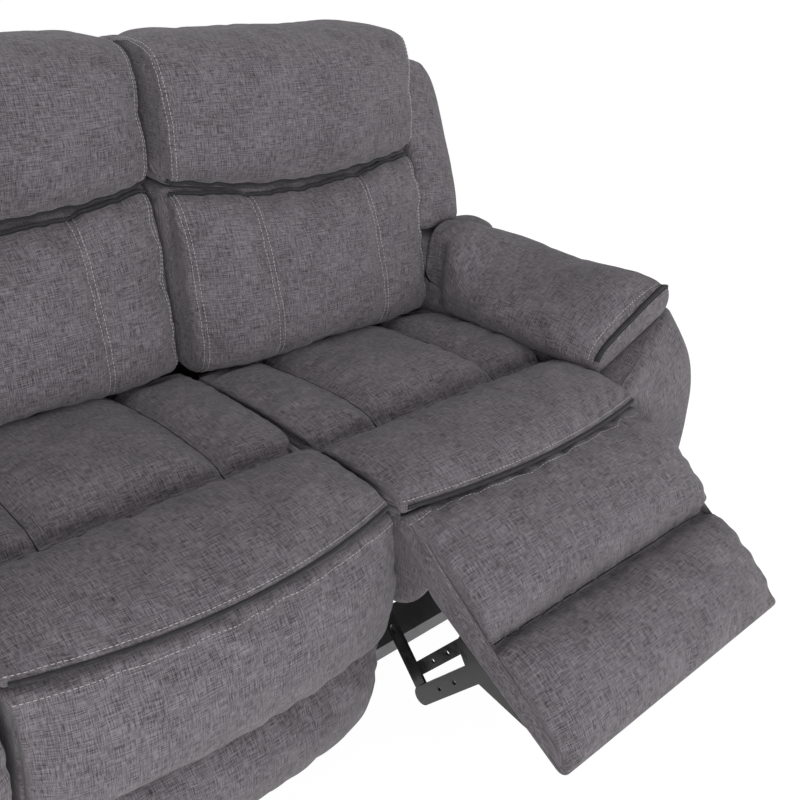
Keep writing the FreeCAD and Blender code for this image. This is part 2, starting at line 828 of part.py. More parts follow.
def build_base():
    half = arm_inner
    add("cross_rails", cross_rail(cross_front), cross_rail(cross_rear))
    back = rear_rail_front + rail_thickness
    add("rear_rail", box(-half, half, rear_rail_front, back, rail_z, rear_rail_top))
    add("rear_valance", box(-half, half, back, back + valance_thickness, rail_z + 5.0, valance_top))
    for side in (-1, 1):
        middle = side * seat_pitch / 2
        low = middle - partition / 2
        high = middle + partition / 2
        add("seat_partitions", box(low, high, partition_front, partition_rear, cross_top, partition_top))
        for inner in (-track_inner - track_width, track_inner):
            start = side * seat_pitch + inner
            add("slide_tracks", slide_track(start))
        for x, y in ((middle, cross_front + cross_depth / 2), (middle, cross_rear + cross_depth / 2),
                     (side * (arm_outer - 60.0), 90.0), (side * (arm_outer - 60.0), 740.0)):
            add("feet", Part.makeCone(foot_radius - 4.0, foot_radius, foot_height, FreeCAD.Vector(x, y, 0)))


def place_and_export():
    # The origin ends up under the middle of the whole sofa, on the floor.
    every = Part.makeCompound([shape for shapes in nodes.values() for shape in shapes])
    bounds = every.optimalBoundingBox(False, False)
    middle_x = 0.5 * (bounds.XMin + bounds.XMax)
    middle_y = 0.5 * (bounds.YMin + bounds.YMax)
    offset = FreeCAD.Vector(-middle_x, -middle_y, -bounds.ZMin)
    os.makedirs("parts", exist_ok=True)
    for name in sorted(nodes):
        shape = nodes[name][0] if len(nodes[name]) == 1 else Part.makeCompound(nodes[name])
        shape = shape.copy()
        shape.translate(offset)
        shape.exportStep("parts/" + name + ".step")
    return offset, bounds


for side in (-1, 1):
    build_end_seat(side)
build_middle_seat()
build_base()
offset, bounds = place_and_export()
print("nodes", len(nodes))
print("size", round(bounds.XLength, 1), round(bounds.YLength, 1), round(bounds.ZLength, 1))
print("offset", round(offset.x, 2), round(offset.y, 2), round(offset.z, 2))
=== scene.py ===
import bpy
import bmesh
import json
import math
import numpy as np
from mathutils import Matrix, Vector, noise
from mathutils.bvhtree import BVHTree

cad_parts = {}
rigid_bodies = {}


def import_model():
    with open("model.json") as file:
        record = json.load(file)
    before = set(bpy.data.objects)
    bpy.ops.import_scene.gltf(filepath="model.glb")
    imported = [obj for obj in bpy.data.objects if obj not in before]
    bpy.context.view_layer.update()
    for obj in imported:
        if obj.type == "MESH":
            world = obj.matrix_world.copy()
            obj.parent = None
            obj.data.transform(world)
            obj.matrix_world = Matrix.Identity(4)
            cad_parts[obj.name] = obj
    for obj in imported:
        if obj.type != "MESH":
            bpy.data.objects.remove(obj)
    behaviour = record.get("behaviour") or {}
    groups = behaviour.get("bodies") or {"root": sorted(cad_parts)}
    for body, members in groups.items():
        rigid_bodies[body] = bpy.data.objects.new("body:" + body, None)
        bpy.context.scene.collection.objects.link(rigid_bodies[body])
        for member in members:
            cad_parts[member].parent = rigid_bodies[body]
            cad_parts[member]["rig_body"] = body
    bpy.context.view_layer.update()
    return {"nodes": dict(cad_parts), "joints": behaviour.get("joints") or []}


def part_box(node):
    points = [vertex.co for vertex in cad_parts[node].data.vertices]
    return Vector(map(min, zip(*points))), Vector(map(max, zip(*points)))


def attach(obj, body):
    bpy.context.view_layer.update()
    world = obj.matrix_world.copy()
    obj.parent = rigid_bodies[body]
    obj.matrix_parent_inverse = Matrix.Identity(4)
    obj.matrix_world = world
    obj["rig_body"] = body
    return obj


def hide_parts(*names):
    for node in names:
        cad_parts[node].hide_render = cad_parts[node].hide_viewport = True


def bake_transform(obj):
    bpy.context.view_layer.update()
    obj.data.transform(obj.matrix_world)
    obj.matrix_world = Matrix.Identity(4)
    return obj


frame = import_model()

scene = bpy.context.scene
joints = {j["name"]: j for j in frame["joints"]}
print("frame loaded", len(frame["nodes"]), "nodes")

# Places taken from the frame; depths are counted from the closed seats' front line
rearFace = 0.800
carriageTravel = 0.0479
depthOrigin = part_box("rear_valance")[1].y - rearFace
seatHalf = (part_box("middle_seat_cushion")[1].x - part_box("middle_seat_cushion")[0].x) / 2
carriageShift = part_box("right_seat_frame")[0].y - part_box("left_seat_frame")[0].y
hingeY = joints["left_footrest_hinge"]["pos_m"][1] - depthOrigin
hingeZ = joints["left_footrest_hinge"]["pos_m"][2]
backPivotY = joints["left_back_recline"]["pos_m"][1] - depthOrigin
backPivotZ = joints["left_back_recline"]["pos_m"][2]
openAngle = math.radians(-joints["right_footrest_hinge"]["range_deg"][0])
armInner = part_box("right_arm_cover")[0].x
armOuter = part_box("right_arm_cover")[1].x
endSeatX = (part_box("right_seat_cushion")[1].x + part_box("right_seat_cushion")[0].x) / 2

seats = {
    "left": {"x": -endSeatX, "shift": 0.0, "angle": 0.0, "carriage": "left_carriage", "back": "left_back",
             "foot": "left_footrest", "pad": "left_footrest_pad", "bow": 0.028, "noseEnd": 0.010,
             "seam": 0.200, "padBow": 0.0, "seed": 11},
    "middle": {"x": 0.0, "shift": 0.0, "angle": 0.0, "carriage": "base", "back": "base", "foot": "base",
               "pad": "middle_front_pad", "bow": 0.046, "noseEnd": -0.002, "seam": 0.200, "padBow": 0.030,
               "seed": 23},
    "right": {"x": endSeatX, "shift": carriageShift, "angle": openAngle, "carriage": "right_carriage",
              "back": "right_back", "foot": "right_footrest", "pad": "right_footrest_pad", "bow": 0.028,
              "noseEnd": 0.014, "seam": 0.216, "padBow": 0.0, "seed": 37},
}


def linked(name, mesh):
    made = bpy.data.objects.new(name, mesh)
    scene.collection.objects.link(made)
    return made


# Materials
def node(tree, kind, place=(0, 0), **settings):
    made = tree.nodes.new(kind)
    made.location = place
    for key, value in settings.items():
        if key in made.inputs:
            made.inputs[key].default_value = value
        else:
            setattr(made, key, value)
    return made


def newGroup(name, inputs, outputs):
    tree = bpy.data.node_groups.new(name, "ShaderNodeTree")
    for label, kind, value in inputs:
        socket = tree.interface.new_socket(name=label, in_out="INPUT", socket_type=kind)
        if value is not None:
            socket.default_value = value
    for label, kind in outputs:
        tree.interface.new_socket(name=label, in_out="OUTPUT", socket_type=kind)
    return tree, tree.nodes.new("NodeGroupInput"), tree.nodes.new("NodeGroupOutput")


def math2(tree, operation, a, b, clamp=False):
    made = tree.nodes.new("ShaderNodeMath")
    made.operation = operation
    made.use_clamp = clamp
    for index, value in enumerate((a, b)):
        if isinstance(value, (int, float)):
            made.inputs[index].default_value = value
        else:
            tree.links.new(value, made.inputs[index])
    return made.outputs[0]


def stretchedNoise(tree, vector, scale, detail, offset):
    mapping = node(tree, "ShaderNodeMapping", Scale=scale, Location=offset)
    tree.links.new(vector, mapping.inputs["Vector"])
    made = node(tree, "ShaderNodeTexNoise", Scale=1.0, Detail=detail)
    tree.links.new(mapping.outputs[0], made.inputs["Vector"])
    return made.outputs["Fac"]


def weaveGroup():
    # Melange plain weave on a map in metres: streaky warp and weft yarns, slubs and slow mottling.
    tree, entry, out = newGroup("melangeWeave", [
        ("Vector", "NodeSocketVector", None), ("Yarn", "NodeSocketFloat", 620.0),
        ("Contrast", "NodeSocketFloat", 1.0)],
        [("Tone", "NodeSocketFloat"), ("Height", "NodeSocketFloat")])
    # Each yarn: streaks a metre along and across, detail, and where its noise starts
    yarns = {"warp": ((1150.0, 85.0, 1.0), 1.5, (3.1, 0.4, 0.0)),
             "weft": ((80.0, 1150.0, 1.0), 1.5, (0.7, 9.2, 0.0)),
             "slub": ((26.0, 640.0, 1.0), 2.0, (5.0, 2.0, 0.0)),
             "cross": ((640.0, 34.0, 1.0), 2.0, (8.0, 6.0, 0.0)),
             "mottle": ((14.0, 12.0, 1.0), 3.0, (1.0, 4.0, 0.0))}
    share = {"fine": 0.72, "slow": 0.56, "mottle": 0.20, "centre": 1.38}
    relief = {"knit": 0.6, "fine": 0.5}
    made = {key: stretchedNoise(tree, entry.outputs["Vector"], *yarn) for key, yarn in yarns.items()}
    fine = math2(tree, "ADD", made["warp"], made["weft"])
    slow = math2(tree, "ADD", made["slub"], made["cross"])
    total = math2(tree, "ADD", math2(tree, "MULTIPLY", fine, share["fine"]),
                  math2(tree, "MULTIPLY", slow, share["slow"]))
    total = math2(tree, "ADD", total, math2(tree, "MULTIPLY", made["mottle"], share["mottle"]))
    centred = math2(tree, "SUBTRACT", total, share["centre"])
    scaled = math2(tree, "MULTIPLY", centred, entry.outputs["Contrast"])
    tree.links.new(math2(tree, "ADD", scaled, 0.5, True), out.inputs["Tone"])
    threads = []
    for direction in ("X", "Y"):
        wave = node(tree, "ShaderNodeTexWave", bands_direction=direction, Distortion=1.2, Detail=1.0,
                    **{"Detail Scale": 1.5})
        tree.links.new(entry.outputs["Vector"], wave.inputs["Vector"])
        tree.links.new(entry.outputs["Yarn"], wave.inputs["Scale"])
        threads.append(wave.outputs["Fac"])
    knit = math2(tree, "MULTIPLY", threads[0], threads[1])
    height = math2(tree, "ADD", math2(tree, "MULTIPLY", knit, relief["knit"]),
                   math2(tree, "MULTIPLY", fine, relief["fine"]))
    tree.links.new(height, out.inputs["Height"])
    return tree


def wearGroup():
    # Dust and rubbed patches on Object coordinates.
    tree, entry, out = newGroup("rubbedPatches", [
        ("Vector", "NodeSocketVector", None), ("Scale", "NodeSocketFloat", 14.0)],
        [("Mask", "NodeSocketFloat")])
    made = node(tree, "ShaderNodeTexNoise", Detail=5.0, Roughness=0.65)
    tree.links.new(entry.outputs["Vector"], made.inputs["Vector"])
    tree.links.new(entry.outputs["Scale"], made.inputs["Scale"])
    ramp = node(tree, "ShaderNodeMapRange", **{"From Min": 0.42, "From Max": 0.7})
    tree.links.new(made.outputs["Fac"], ramp.inputs["Value"])
    tree.links.new(ramp.outputs["Result"], out.inputs["Mask"])
    return tree


weave = weaveGroup()
wear = wearGroup()


def principled(name):
    made = bpy.data.materials.new(name)
    made.use_nodes = True
    return made, made.node_tree, made.node_tree.nodes["Principled BSDF"]


def mixColour(tree, factor, low, high):
    made = tree.nodes.new("ShaderNodeMix")
    made.data_type = "RGBA"
    made.inputs[6].default_value = (*low, 1.0)
    made.inputs[7].default_value = (*high, 1.0)
    tree.links.new(factor, made.inputs[0])
    return made.outputs[2]


def addBump(tree, shader, height, strength, distance):
    bump = node(tree, "ShaderNodeBump", (-300, -300), Strength=strength, Distance=distance)
    tree.links.new(height, bump.inputs["Height"])
    tree.links.new(bump.outputs["Normal"], shader.inputs["Normal"])


def clothMaterial(name, look):
    made, tree, shader = principled(name)
    coords = node(tree, "ShaderNodeUVMap", (-900, 0), uv_map="cloth")
    cloth = node(tree, "ShaderNodeGroup", (-650, 0))
    cloth.node_tree = weave
    cloth.inputs["Yarn"].default_value = look["yarn"]
    cloth.inputs["Contrast"].default_value = look["contrast"]
    tree.links.new(coords.outputs["UV"], cloth.inputs["Vector"])
    colour = mixColour(tree, cloth.outputs["Tone"], look["dark"], look["light"])
    tree.links.new(colour, shader.inputs["Base Color"])
    addBump(tree, shader, cloth.outputs["Height"], look["bump"], look["depth"])
    shader.inputs["Roughness"].default_value = look["roughness"]
    shader.inputs["Specular IOR Level"].default_value = look["specular"]
    shader.inputs["Sheen Weight"].default_value = look["sheen"]
    shader.inputs["Sheen Roughness"].default_value = 0.45
    return made


def solidMaterial(name, look):
    # Painted steel, plastic, plain cloth and black strips of painted shade: colour, worn patches and a fine
    # surface.
    made, tree, shader = principled(name)
    coords = node(tree, "ShaderNodeTexCoord", (-900, 0))
    patches = node(tree, "ShaderNodeGroup", (-650, 0))
    patches.node_tree = wear
    patches.inputs["Scale"].default_value = look["patch"]
    tree.links.new(coords.outputs["Object"], patches.inputs["Vector"])
    colour = mixColour(tree, patches.outputs["Mask"], look["base"], look["worn"])
    tree.links.new(colour, shader.inputs["Base Color"])
    rough = node(tree, "ShaderNodeMapRange", (-400, -150))
    rough.inputs["To Min"].default_value = look["roughness"][0]
    rough.inputs["To Max"].default_value = look["roughness"][1]
    tree.links.new(patches.outputs["Mask"], rough.inputs["Value"])
    tree.links.new(rough.outputs["Result"], shader.inputs["Roughness"])
    grain = node(tree, "ShaderNodeTexNoise", (-650, -400), Scale=look["grain"], Detail=3.0)
    tree.links.new(coords.outputs["Object"], grain.inputs["Vector"])
    addBump(tree, shader, grain.outputs["Fac"], look["bump"], 0.0004)
    shader.inputs["Metallic"].default_value = 0.0
    return made


def timberMaterial():
    made, tree, shader = principled("planedTimber")
    coords = node(tree, "ShaderNodeTexCoord", (-900, 0))
    mapping = node(tree, "ShaderNodeMapping", (-750, 0))
    mapping.inputs["Scale"].default_value = (4.0, 40.0, 40.0)
    tree.links.new(coords.outputs["Object"], mapping.inputs["Vector"])
    rings = node(tree, "ShaderNodeTexNoise", (-550, 0), Scale=1.6, Detail=6.0, Distortion=1.4)
    tree.links.new(mapping.outputs[0], rings.inputs["Vector"])
    colour = mixColour(tree, rings.outputs["Fac"], (0.30, 0.19, 0.10), (0.66, 0.50, 0.32))
    tree.links.new(colour, shader.inputs["Base Color"])
    addBump(tree, shader, rings.outputs["Fac"], 0.3, 0.0006)
    shader.inputs["Roughness"].default_value = 0.62
    return made


fabricLook = {"dark": (0.038, 0.034, 0.038), "light": (0.252, 0.232, 0.252), "contrast": 2.1, "yarn": 420.0,
              "bump": 0.45, "depth": 0.0007, "roughness": 0.85, "specular": 0.25, "sheen": 0.15}
# The welt cord's cloth: the seat fabric's weave in a much darker copy, painted shade of the recess it lies
# in.
weltShadedLook = dict(fabricLook, dark=(0.012, 0.011, 0.012), light=(0.050, 0.048, 0.052))
fabric = clothMaterial("greyMelange", fabricLook)
weltShadedCloth = clothMaterial("weltMelange", weltShadedLook)
# Black strips laid in welt recesses and seam folds: painted shade, standing in for the shadow there.
paintedShadeLook = {"base": (0.006, 0.006, 0.007), "worn": (0.012, 0.012, 0.013), "roughness": (0.9, 0.95),
              "patch": 60.0, "grain": 900.0, "bump": 0.2}
groove = solidMaterial("grooveShadowCloth", paintedShadeLook)
threadLook = {"base": (0.46, 0.45, 0.45), "worn": (0.62, 0.61, 0.60), "roughness": (0.6, 0.8),
              "patch": 90.0, "grain": 2500.0, "bump": 0.5}
thread = solidMaterial("paleThread", threadLook)
steelLook = {"base": (0.008, 0.008, 0.009), "worn": (0.03, 0.03, 0.032), "roughness": (0.22, 0.42),
             "patch": 22.0, "grain": 700.0, "bump": 0.12}
blackSteel = solidMaterial("blackPaintedSteel", steelLook)
# The cross rails: the black-painted steel made lighter grey, a painted highlight standing in for light
# reflected from their top face.
railLitLook = dict(steelLook, base=(0.10, 0.10, 0.105), worn=(0.16, 0.16, 0.165), roughness=(0.35, 0.5))
railLitSteel = solidMaterial("greyRailSteel", railLitLook)
plasticLook = {"base": (0.014, 0.014, 0.015), "worn": (0.022, 0.022, 0.024), "roughness": (0.42, 0.55),
               "patch": 30.0, "grain": 1400.0, "bump": 0.35}
blackPlastic = solidMaterial("blackPlastic", plasticLook)
liningLook = {"base": (0.018, 0.018, 0.02), "worn": (0.030, 0.030, 0.032), "roughness": (0.85, 0.95),
              "patch": 25.0, "grain": 1200.0, "bump": 0.5}
lining = solidMaterial("blackLining", liningLook)
timber = timberMaterial()


print("materials made")


# Closed cross sections: control points are (a, b) or (a, b, "S") where the outline has a corner
def sampleLoop(points, counts):
    n = len(points)
    xy = np.array([p[:2] for p in points], float)
    sharp = [len(p) > 2 for p in points]
    out = []
    for i in range(n):
        p1, p2 = xy[i], xy[(i + 1) % n]
        t1 = (p2 - xy[i - 1]) * 0.5 if not sharp[i] else (p2 - p1)
        t2 = (xy[(i + 2) % n] - p1) * 0.5 if not sharp[(i + 1) % n] else (p2 - p1)
        if sharp[i] and not sharp[(i + 1) % n]:
            t1 = 1.5 * (p2 - p1) - 0.5 * t2
        if sharp[(i + 1) % n] and not sharp[i]:
            t2 = 1.5 * (p2 - p1) - 0.5 * t1
        s = np.linspace(0.0, 1.0, counts[i], endpoint=False)[:, None]
        out.append((2 * s**3 - 3 * s**2 + 1) * p1 + (s**3 - 2 * s**2 + s) * t1
                   + (-2 * s**3 + 3 * s**2) * p2 + (s**3 - s**2) * t2)
    return np.concatenate(out)


def loopCounts(points, spacing):
    n = len(points)
    lengths = [math.dist(points[i][:2], points[(i + 1) % n][:2]) for i in range(n)]
    return [max(1, round(length / spacing)) for length in lengths]


def signedArea(loop):
    after = np.roll(loop, -1, axis=0)
    return 0.5 * float(np.sum(loop[:, 0] * after[:, 1] - after[:, 0] * loop[:, 1]))


def shrinkLoop(loop, distance, step=0.002):
    # Moves an outline inwards, evening out its points on the way so that corners don't fold over.
    turn = 1.0 if signedArea(loop) > 0 else -1.0
    left = distance
    while left > 1e-6:
        now = min(step, left)
        before = loop - np.roll(loop, 1, axis=0)
        after = np.roll(before, -1, axis=0)
        before = before / (np.linalg.norm(before, axis=1)[:, None] + 1e-12)
        after = after / (np.linalg.norm(after, axis=1)[:, None] + 1e-12)
        tangent = before + after
        tangent /= np.linalg.norm(tangent, axis=1)[:, None] + 1e-12
        inward = np.stack([-tangent[:, 1], tangent[:, 0]], axis=1) * turn
        miter = np.sqrt(np.clip(0.5 + 0.5 * np.sum(before * after, axis=1), 0.36, 1.0))
        loop = loop + inward * (now / miter)[:, None]
        middle = 0.5 * (np.roll(loop, -1, axis=0) + np.roll(loop, 1, axis=0)) - loop
        loop = loop + 0.35 * tangent * np.sum(middle * tangent, axis=1)[:, None] + 0.06 * middle
        left -= now
    return loop


def crossStations(half, radius, spacing, marks=(), arcSteps=5):
    # Places across a piece with rounded ends, as (place, how far the outline is drawn in).
    ends = [(half - radius * (1 - math.cos(a)), radius * (1 - math.sin(a)))
            for a in np.linspace(0, math.pi / 2, arcSteps + 1)]
    inner = half - radius
    stops = sorted(set([-inner, inner] + [m for m in marks if abs(m) < inner]))
    middle = []
    for a, b in zip(stops[:-1], stops[1:]):
        count = max(1, round((b - a) / spacing))
        middle += [(a + (b - a) * i / count, 0.0) for i in range(count)]
    middle = middle[1:]
    return [(-x, d) for x, d in ends] + middle + [(x, d) for x, d in reversed(ends)]


kindCounts = {}
swollen = {}
clothRule = {"quality": 5, "mass": 0.25, "tension_stiffness": 14.0, "compression_stiffness": 14.0,
             "shear_stiffness": 7.0, "bending_stiffness": 0.35, "air_damping": 2.0, "use_pressure": True}


class Shell:
    # A closed skin: outlines at stations, joined by quads. Its map is in metres along and across.
    def __init__(self, name, kind, stations, outlineAt, place, spacing):
        self.name = name
        self.kind = kind
        self.x = np.array([s[0] for s in stations])
        middle = outlineAt(float(self.x[len(self.x) // 2]))
        counts = kindCounts.setdefault(kind, loopCounts(middle, spacing))
        travel = [math.dist(stations[i], stations[i - 1]) for i in range(1, len(stations))]
        self.u = np.concatenate([[0.0], np.cumsum(travel)]) - 0.5 * sum(travel)
        self.starts = np.concatenate([[0], np.cumsum(counts)])
        self.flat = np.array([shrinkLoop(sampleLoop(outlineAt(x), counts), d) for x, d in stations])
        reference = sampleLoop(middle, counts)
        steps = np.linalg.norm(np.roll(reference, -1, axis=0) - reference, axis=1)
        self.v = np.concatenate([[0.0], np.cumsum(steps)])
        self.grid = np.array([place(x, loop) for x, loop in zip(self.x, self.flat)])

    def normals(self):
        across = np.gradient(self.grid, axis=0)
        along = np.roll(self.grid, -1, axis=1) - np.roll(self.grid, 1, axis=1)
        made = np.cross(along, across)
        made /= np.linalg.norm(made, axis=2)[:, :, None] + 1e-12
        middle = self.grid[len(self.x) // 2]
        outward = middle - middle.mean(axis=0)
        sign = np.sign(np.sum(outward * made[len(self.x) // 2]))
        return made * sign

    def vAt(self, index):
        # Distance along the outline of a control point.
        return self.v[self.starts[index]]

    def displace(self, amount):
        self.grid = self.grid + self.normals() * amount[:, :, None]

    def coordinates(self):
        return np.meshgrid(self.x, self.v[:-1], indexing="ij")

    def simulate(self, pins, look):
        # Cloth under air pressure, held at the sewn lines; gives each point's move.
        before = self.grid.copy()
        soft = self.build()
        count = before.shape[0] * before.shape[1]
        held = np.ones(len(soft.data.vertices), bool)
        held[:count] = pins.ravel()
        group = soft.vertex_groups.new(name="sewn")
        group.add(np.nonzero(held)[0].tolist(), 1.0, "REPLACE")
        cloth = soft.modifiers.new("cloth", "CLOTH")
        for key, value in clothRule.items():
            setattr(cloth.settings, key, value)
        cloth.settings.uniform_pressure_force = look["pressure"]
        cloth.settings.shrink_min = look["shrink"]
        cloth.settings.vertex_group_mass = "sewn"
        cloth.settings.effector_weights.gravity = 0.0
        cloth.collision_settings.use_collision = False
        cloth.point_cache.frame_start = 1
        cloth.point_cache.frame_end = look["frames"]
        for now in range(1, look["frames"] + 1):
            scene.frame_set(now)
        evaluated = soft.evaluated_get(bpy.context.evaluated_depsgraph_get())
        co = np.zeros(len(evaluated.data.vertices) * 3)
        evaluated.data.vertices.foreach_get("co", co)
        moved = co.reshape(-1, 3)[:count].reshape(before.shape) - before
        bpy.data.objects.remove(soft)
        scene.frame_set(1)
        length = np.linalg.norm(moved, axis=2)[:, :, None]
        cap = look["cap"]
        print("simulated", self.kind, "largest move", round(float(length.max()), 4))
        return moved * (cap * np.tanh(length / cap) / (length + 1e-9))

    def swell(self, pins, look, flip=False, mirror=False):
        # The simulation runs once for each kind of cushion and is reused for its copies.
        if self.kind not in swollen:
            swollen[self.kind] = self.simulate(pins, look)
        moved = swollen[self.kind].copy()
        if flip:
            moved = moved[::-1] * np.array([-1.0, 1.0, 1.0])
        if mirror:
            moved = moved * np.array([-1.0, 1.0, 1.0])
        self.grid = self.grid + moved

    def build(self):
        m, n = self.grid.shape[:2]
        index = np.arange(m * n).reshape(m, n)
        turned = np.roll(index, -1, axis=1)
        quads = np.stack([index[:-1], turned[:-1], turned[1:], index[1:]], axis=-1).reshape(-1, 4)
        row, after = self.grid[m // 2], self.grid[m // 2 + 1]
        side = np.cross(row[1] - row[0], after[0] - row[0])
        flip = float(np.sum(side * self.normals()[m // 2, 0])) < 0
        if flip:
            quads = quads[:, ::-1]
        mesh = bpy.data.meshes.new(self.name)
        mesh.from_pydata(self.grid.reshape(-1, 3).tolist(), [], quads.tolist())
        bm = bmesh.new()
        bm.from_mesh(mesh)
        layer = bm.loops.layers.uv.new("cloth")
        bm.verts.ensure_lookup_table()
        for face in bm.faces:
            corners = [loop.vert.index for loop in face.loops]
            columns = [k % n for k in corners]
            wrap = max(columns) - min(columns) > 1
            for loop, k, column in zip(face.loops, corners, columns):
                v = self.v[n] if wrap and column == 0 else self.v[column]
                loop[layer].uv = (self.u[k // n], v)
        for end in (0, m - 1):
            ring = [bm.verts[int(k)] for k in index[end]]
            if flip != (end == 0):
                ring = ring[::-1]
            cap = bm.faces.new(ring)
            for loop in cap.loops:
                loop[layer].uv = tuple(self.flat[end, loop.vert.index % n])
            bmesh.ops.triangulate(bm, faces=[cap], ngon_method="EAR_CLIP")
        bm.to_mesh(mesh)
        bm.free()
        for poly in mesh.polygons:
            poly.use_smooth = True
        mesh.materials.append(fabric)
        return linked(self.name, mesh)

    def point(self, x, v):
        # A point on the skin, between its grid points.
        i = float(np.interp(x, self.x, np.arange(len(self.x))))
        j = float(np.interp(v, self.v, np.arange(len(self.v))))
        i0, j0 = int(i), int(j)
        i1, j1 = min(i0 + 1, len(self.x) - 1), (j0 + 1) % self.grid.shape[1]
        j0 = j0 % self.grid.shape[1]
        fi, fj = i - int(i), j - int(j)
        g = self.grid
        low = g[i0, j0] * (1 - fj) + g[i0, j1] * fj
        high = g[i1, j0] * (1 - fj) + g[i1, j1] * fj
        return low * (1 - fi) + high * fi

    def finish(self):
        made = subdivide(self.build())
        self.tree = BVHTree.FromPolygons([v.co.copy() for v in made.data.vertices],
                                         [tuple(p.vertices) for p in made.data.polygons])
        return made

    def nearest(self, place, lift):
        near, normal, _, _ = self.tree.find_nearest(Vector(place))
        return near + normal * lift, normal

    def path(self, places, lift):
        # Points and normals of a line drawn on the finished skin.
        return [self.nearest(self.point(x, v), lift) for x, v in places]


def subdivide(target):
    made = target.modifiers.new("smooth", "SUBSURF")
    made.levels = 1
    made.render_levels = 1
    bpy.context.view_layer.update()
    evaluated = target.evaluated_get(bpy.context.evaluated_depsgraph_get())
    mesh = bpy.data.meshes.new_from_object(evaluated)
    target.modifiers.clear()
    old = target.data
    target.data = mesh
    bpy.data.meshes.remove(old)
    return target


def fieldNoise(x, v, seed, scale):
    out = np.zeros(x.shape)
    flatX, flatV, flatOut = x.ravel(), v.ravel(), out.ravel()
    for k in range(flatX.size):
        flatOut[k] = noise.noise(Vector((flatX[k] * scale[0], flatV[k] * scale[1], seed * 7.31)))
    return flatOut.reshape(x.shape)


def pillow(distance, rise, reach):
    # Height of stuffed cloth beside a sewn line.
    return rise * (1.0 - np.exp(-distance / reach))


def ripples(distance, along, seed, size, reach, pitch):
    # Small gathers that run out from a sewn line.
    wave = fieldNoise(along, np.zeros(along.shape), seed, (1.0 / pitch, 1.0))
    return size * wave * np.exp(-distance / reach)


def fade(values, low, high):
    t = np.clip((values - low) / (high - low), 0.0, 1.0)
    return t * t * (3 - 2 * t)


def placeYZ(seat):
    def put(x, loop):
        y = loop[:, 0] + depthOrigin + seat["shift"]
        return np.stack([np.full(len(loop), x + seat["x"]), y, loop[:, 1]], axis=1)
    return put


def uneven(lift, x, v, seed, broad, fine):
    # Adds broad and fine unevenness, each given as its height and its waves a metre across and along.
    lift = lift + broad[0] * fieldNoise(x, v, seed, broad[1:])
    return lift + fine[0] * fieldNoise(x, v, seed + 1, fine[1:])


def dress(made, body, replaced=None):
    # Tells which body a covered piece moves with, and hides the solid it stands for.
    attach(made, body)
    if replaced:
        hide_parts(replaced)


stitchRuns = {}
stitchLift = 0.0004


def addStitches(body, path):
    stitchRuns.setdefault(body, []).append(path)


def addStitchRows(shell, body, places, vs):
    # Rows of stitches up a piece, at places across it.
    for place in places:
        addStitches(body, shell.path([(place, a) for a in vs], stitchLift))


def tubeMesh(name, path, width, height, sides, material, body):
    # A flattened round section carried along a line that lies on cloth.
    points = [p for p, _ in path]
    last = len(points) - 1
    verts, faces, uv = [], [], []
    run = 0.0
    for i, (p, normal) in enumerate(path):
        tangent = (points[min(i + 1, last)] - points[max(i - 1, 0)]).normalized()
        side = tangent.cross(normal).normalized()
        up = side.cross(tangent).normalized()
        if i:
            run += (p - points[i - 1]).length
        for k in range(sides):
            a = 2 * math.pi * k / sides
            verts.append(p + side * (math.cos(a) * width / 2) + up * (math.sin(a) * height / 2))
            uv.append((run, width * 3.0 * k / sides))
    for i in range(last):
        for k in range(sides):
            here, there = i * sides, (i + 1) * sides
            after = (k + 1) % sides
            faces.append((here + k, here + after, there + after, there + k))
    faces.append(tuple(range(sides))[::-1])
    faces.append(tuple(last * sides + k for k in range(sides)))
    mesh = bpy.data.meshes.new(name)
    mesh.from_pydata([tuple(v) for v in verts], [], faces)
    layer = mesh.uv_layers.new(name="cloth")
    for loop in mesh.loops:
        layer.data[loop.index].uv = uv[loop.vertex_index]
    for poly in mesh.polygons:
        poly.use_smooth = len(poly.vertices) == 4
    mesh.materials.append(material)
    made = linked(name, mesh)
    bm = bmesh.new()
    bm.from_mesh(mesh)
    bmesh.ops.recalc_face_normals(bm, faces=bm.faces)
    bm.to_mesh(mesh)
    bm.free()
    dress(made, body)


# Welt sizes: the cord, the black strip of painted shade beneath it, and the width of a seam's painted-shade
# line.
weltSize = {"cord": 0.0062, "cordHeight": 0.0060, "groove": 0.0108, "grooveHeight": 0.0026, "gap": 0.0105,
            "lift": 0.0010, "offset": 0.0010, "seam": 0.0028}


def addWelt(name, shell, places, body, size=weltSize):
    # A cloth-covered cord that lies in the upper half of a dark recess: the black strip under it is painted
    # shade for the recess, and the cord's darker cloth is painted shade too.
    base = shell.path(places, 0.0002)
    tubeMesh(name + "_groove", base, size["groove"], size["grooveHeight"], 8, groove, body)
    raised = shell.path([(a, v + size["offset"]) for a, v in places], size["lift"])
    tubeMesh(name + "_cord", raised, size["cord"], size["cordHeight"], 12, weltShadedCloth, body)


def addSeamShade(name, shell, places, body, width=weltSize["seam"]):
    # A black tube at the bottom of a sewn channel: painted shade standing in for the shadow in the seam's
    # fold.
    tubeMesh(name, shell.path(places, -0.0001), width, 0.0016, 6, groove, body)


def noseAt(seat, x):
    t = x / seatHalf
    return seat["noseEnd"] - seat["bow"] * (1 - t * t)


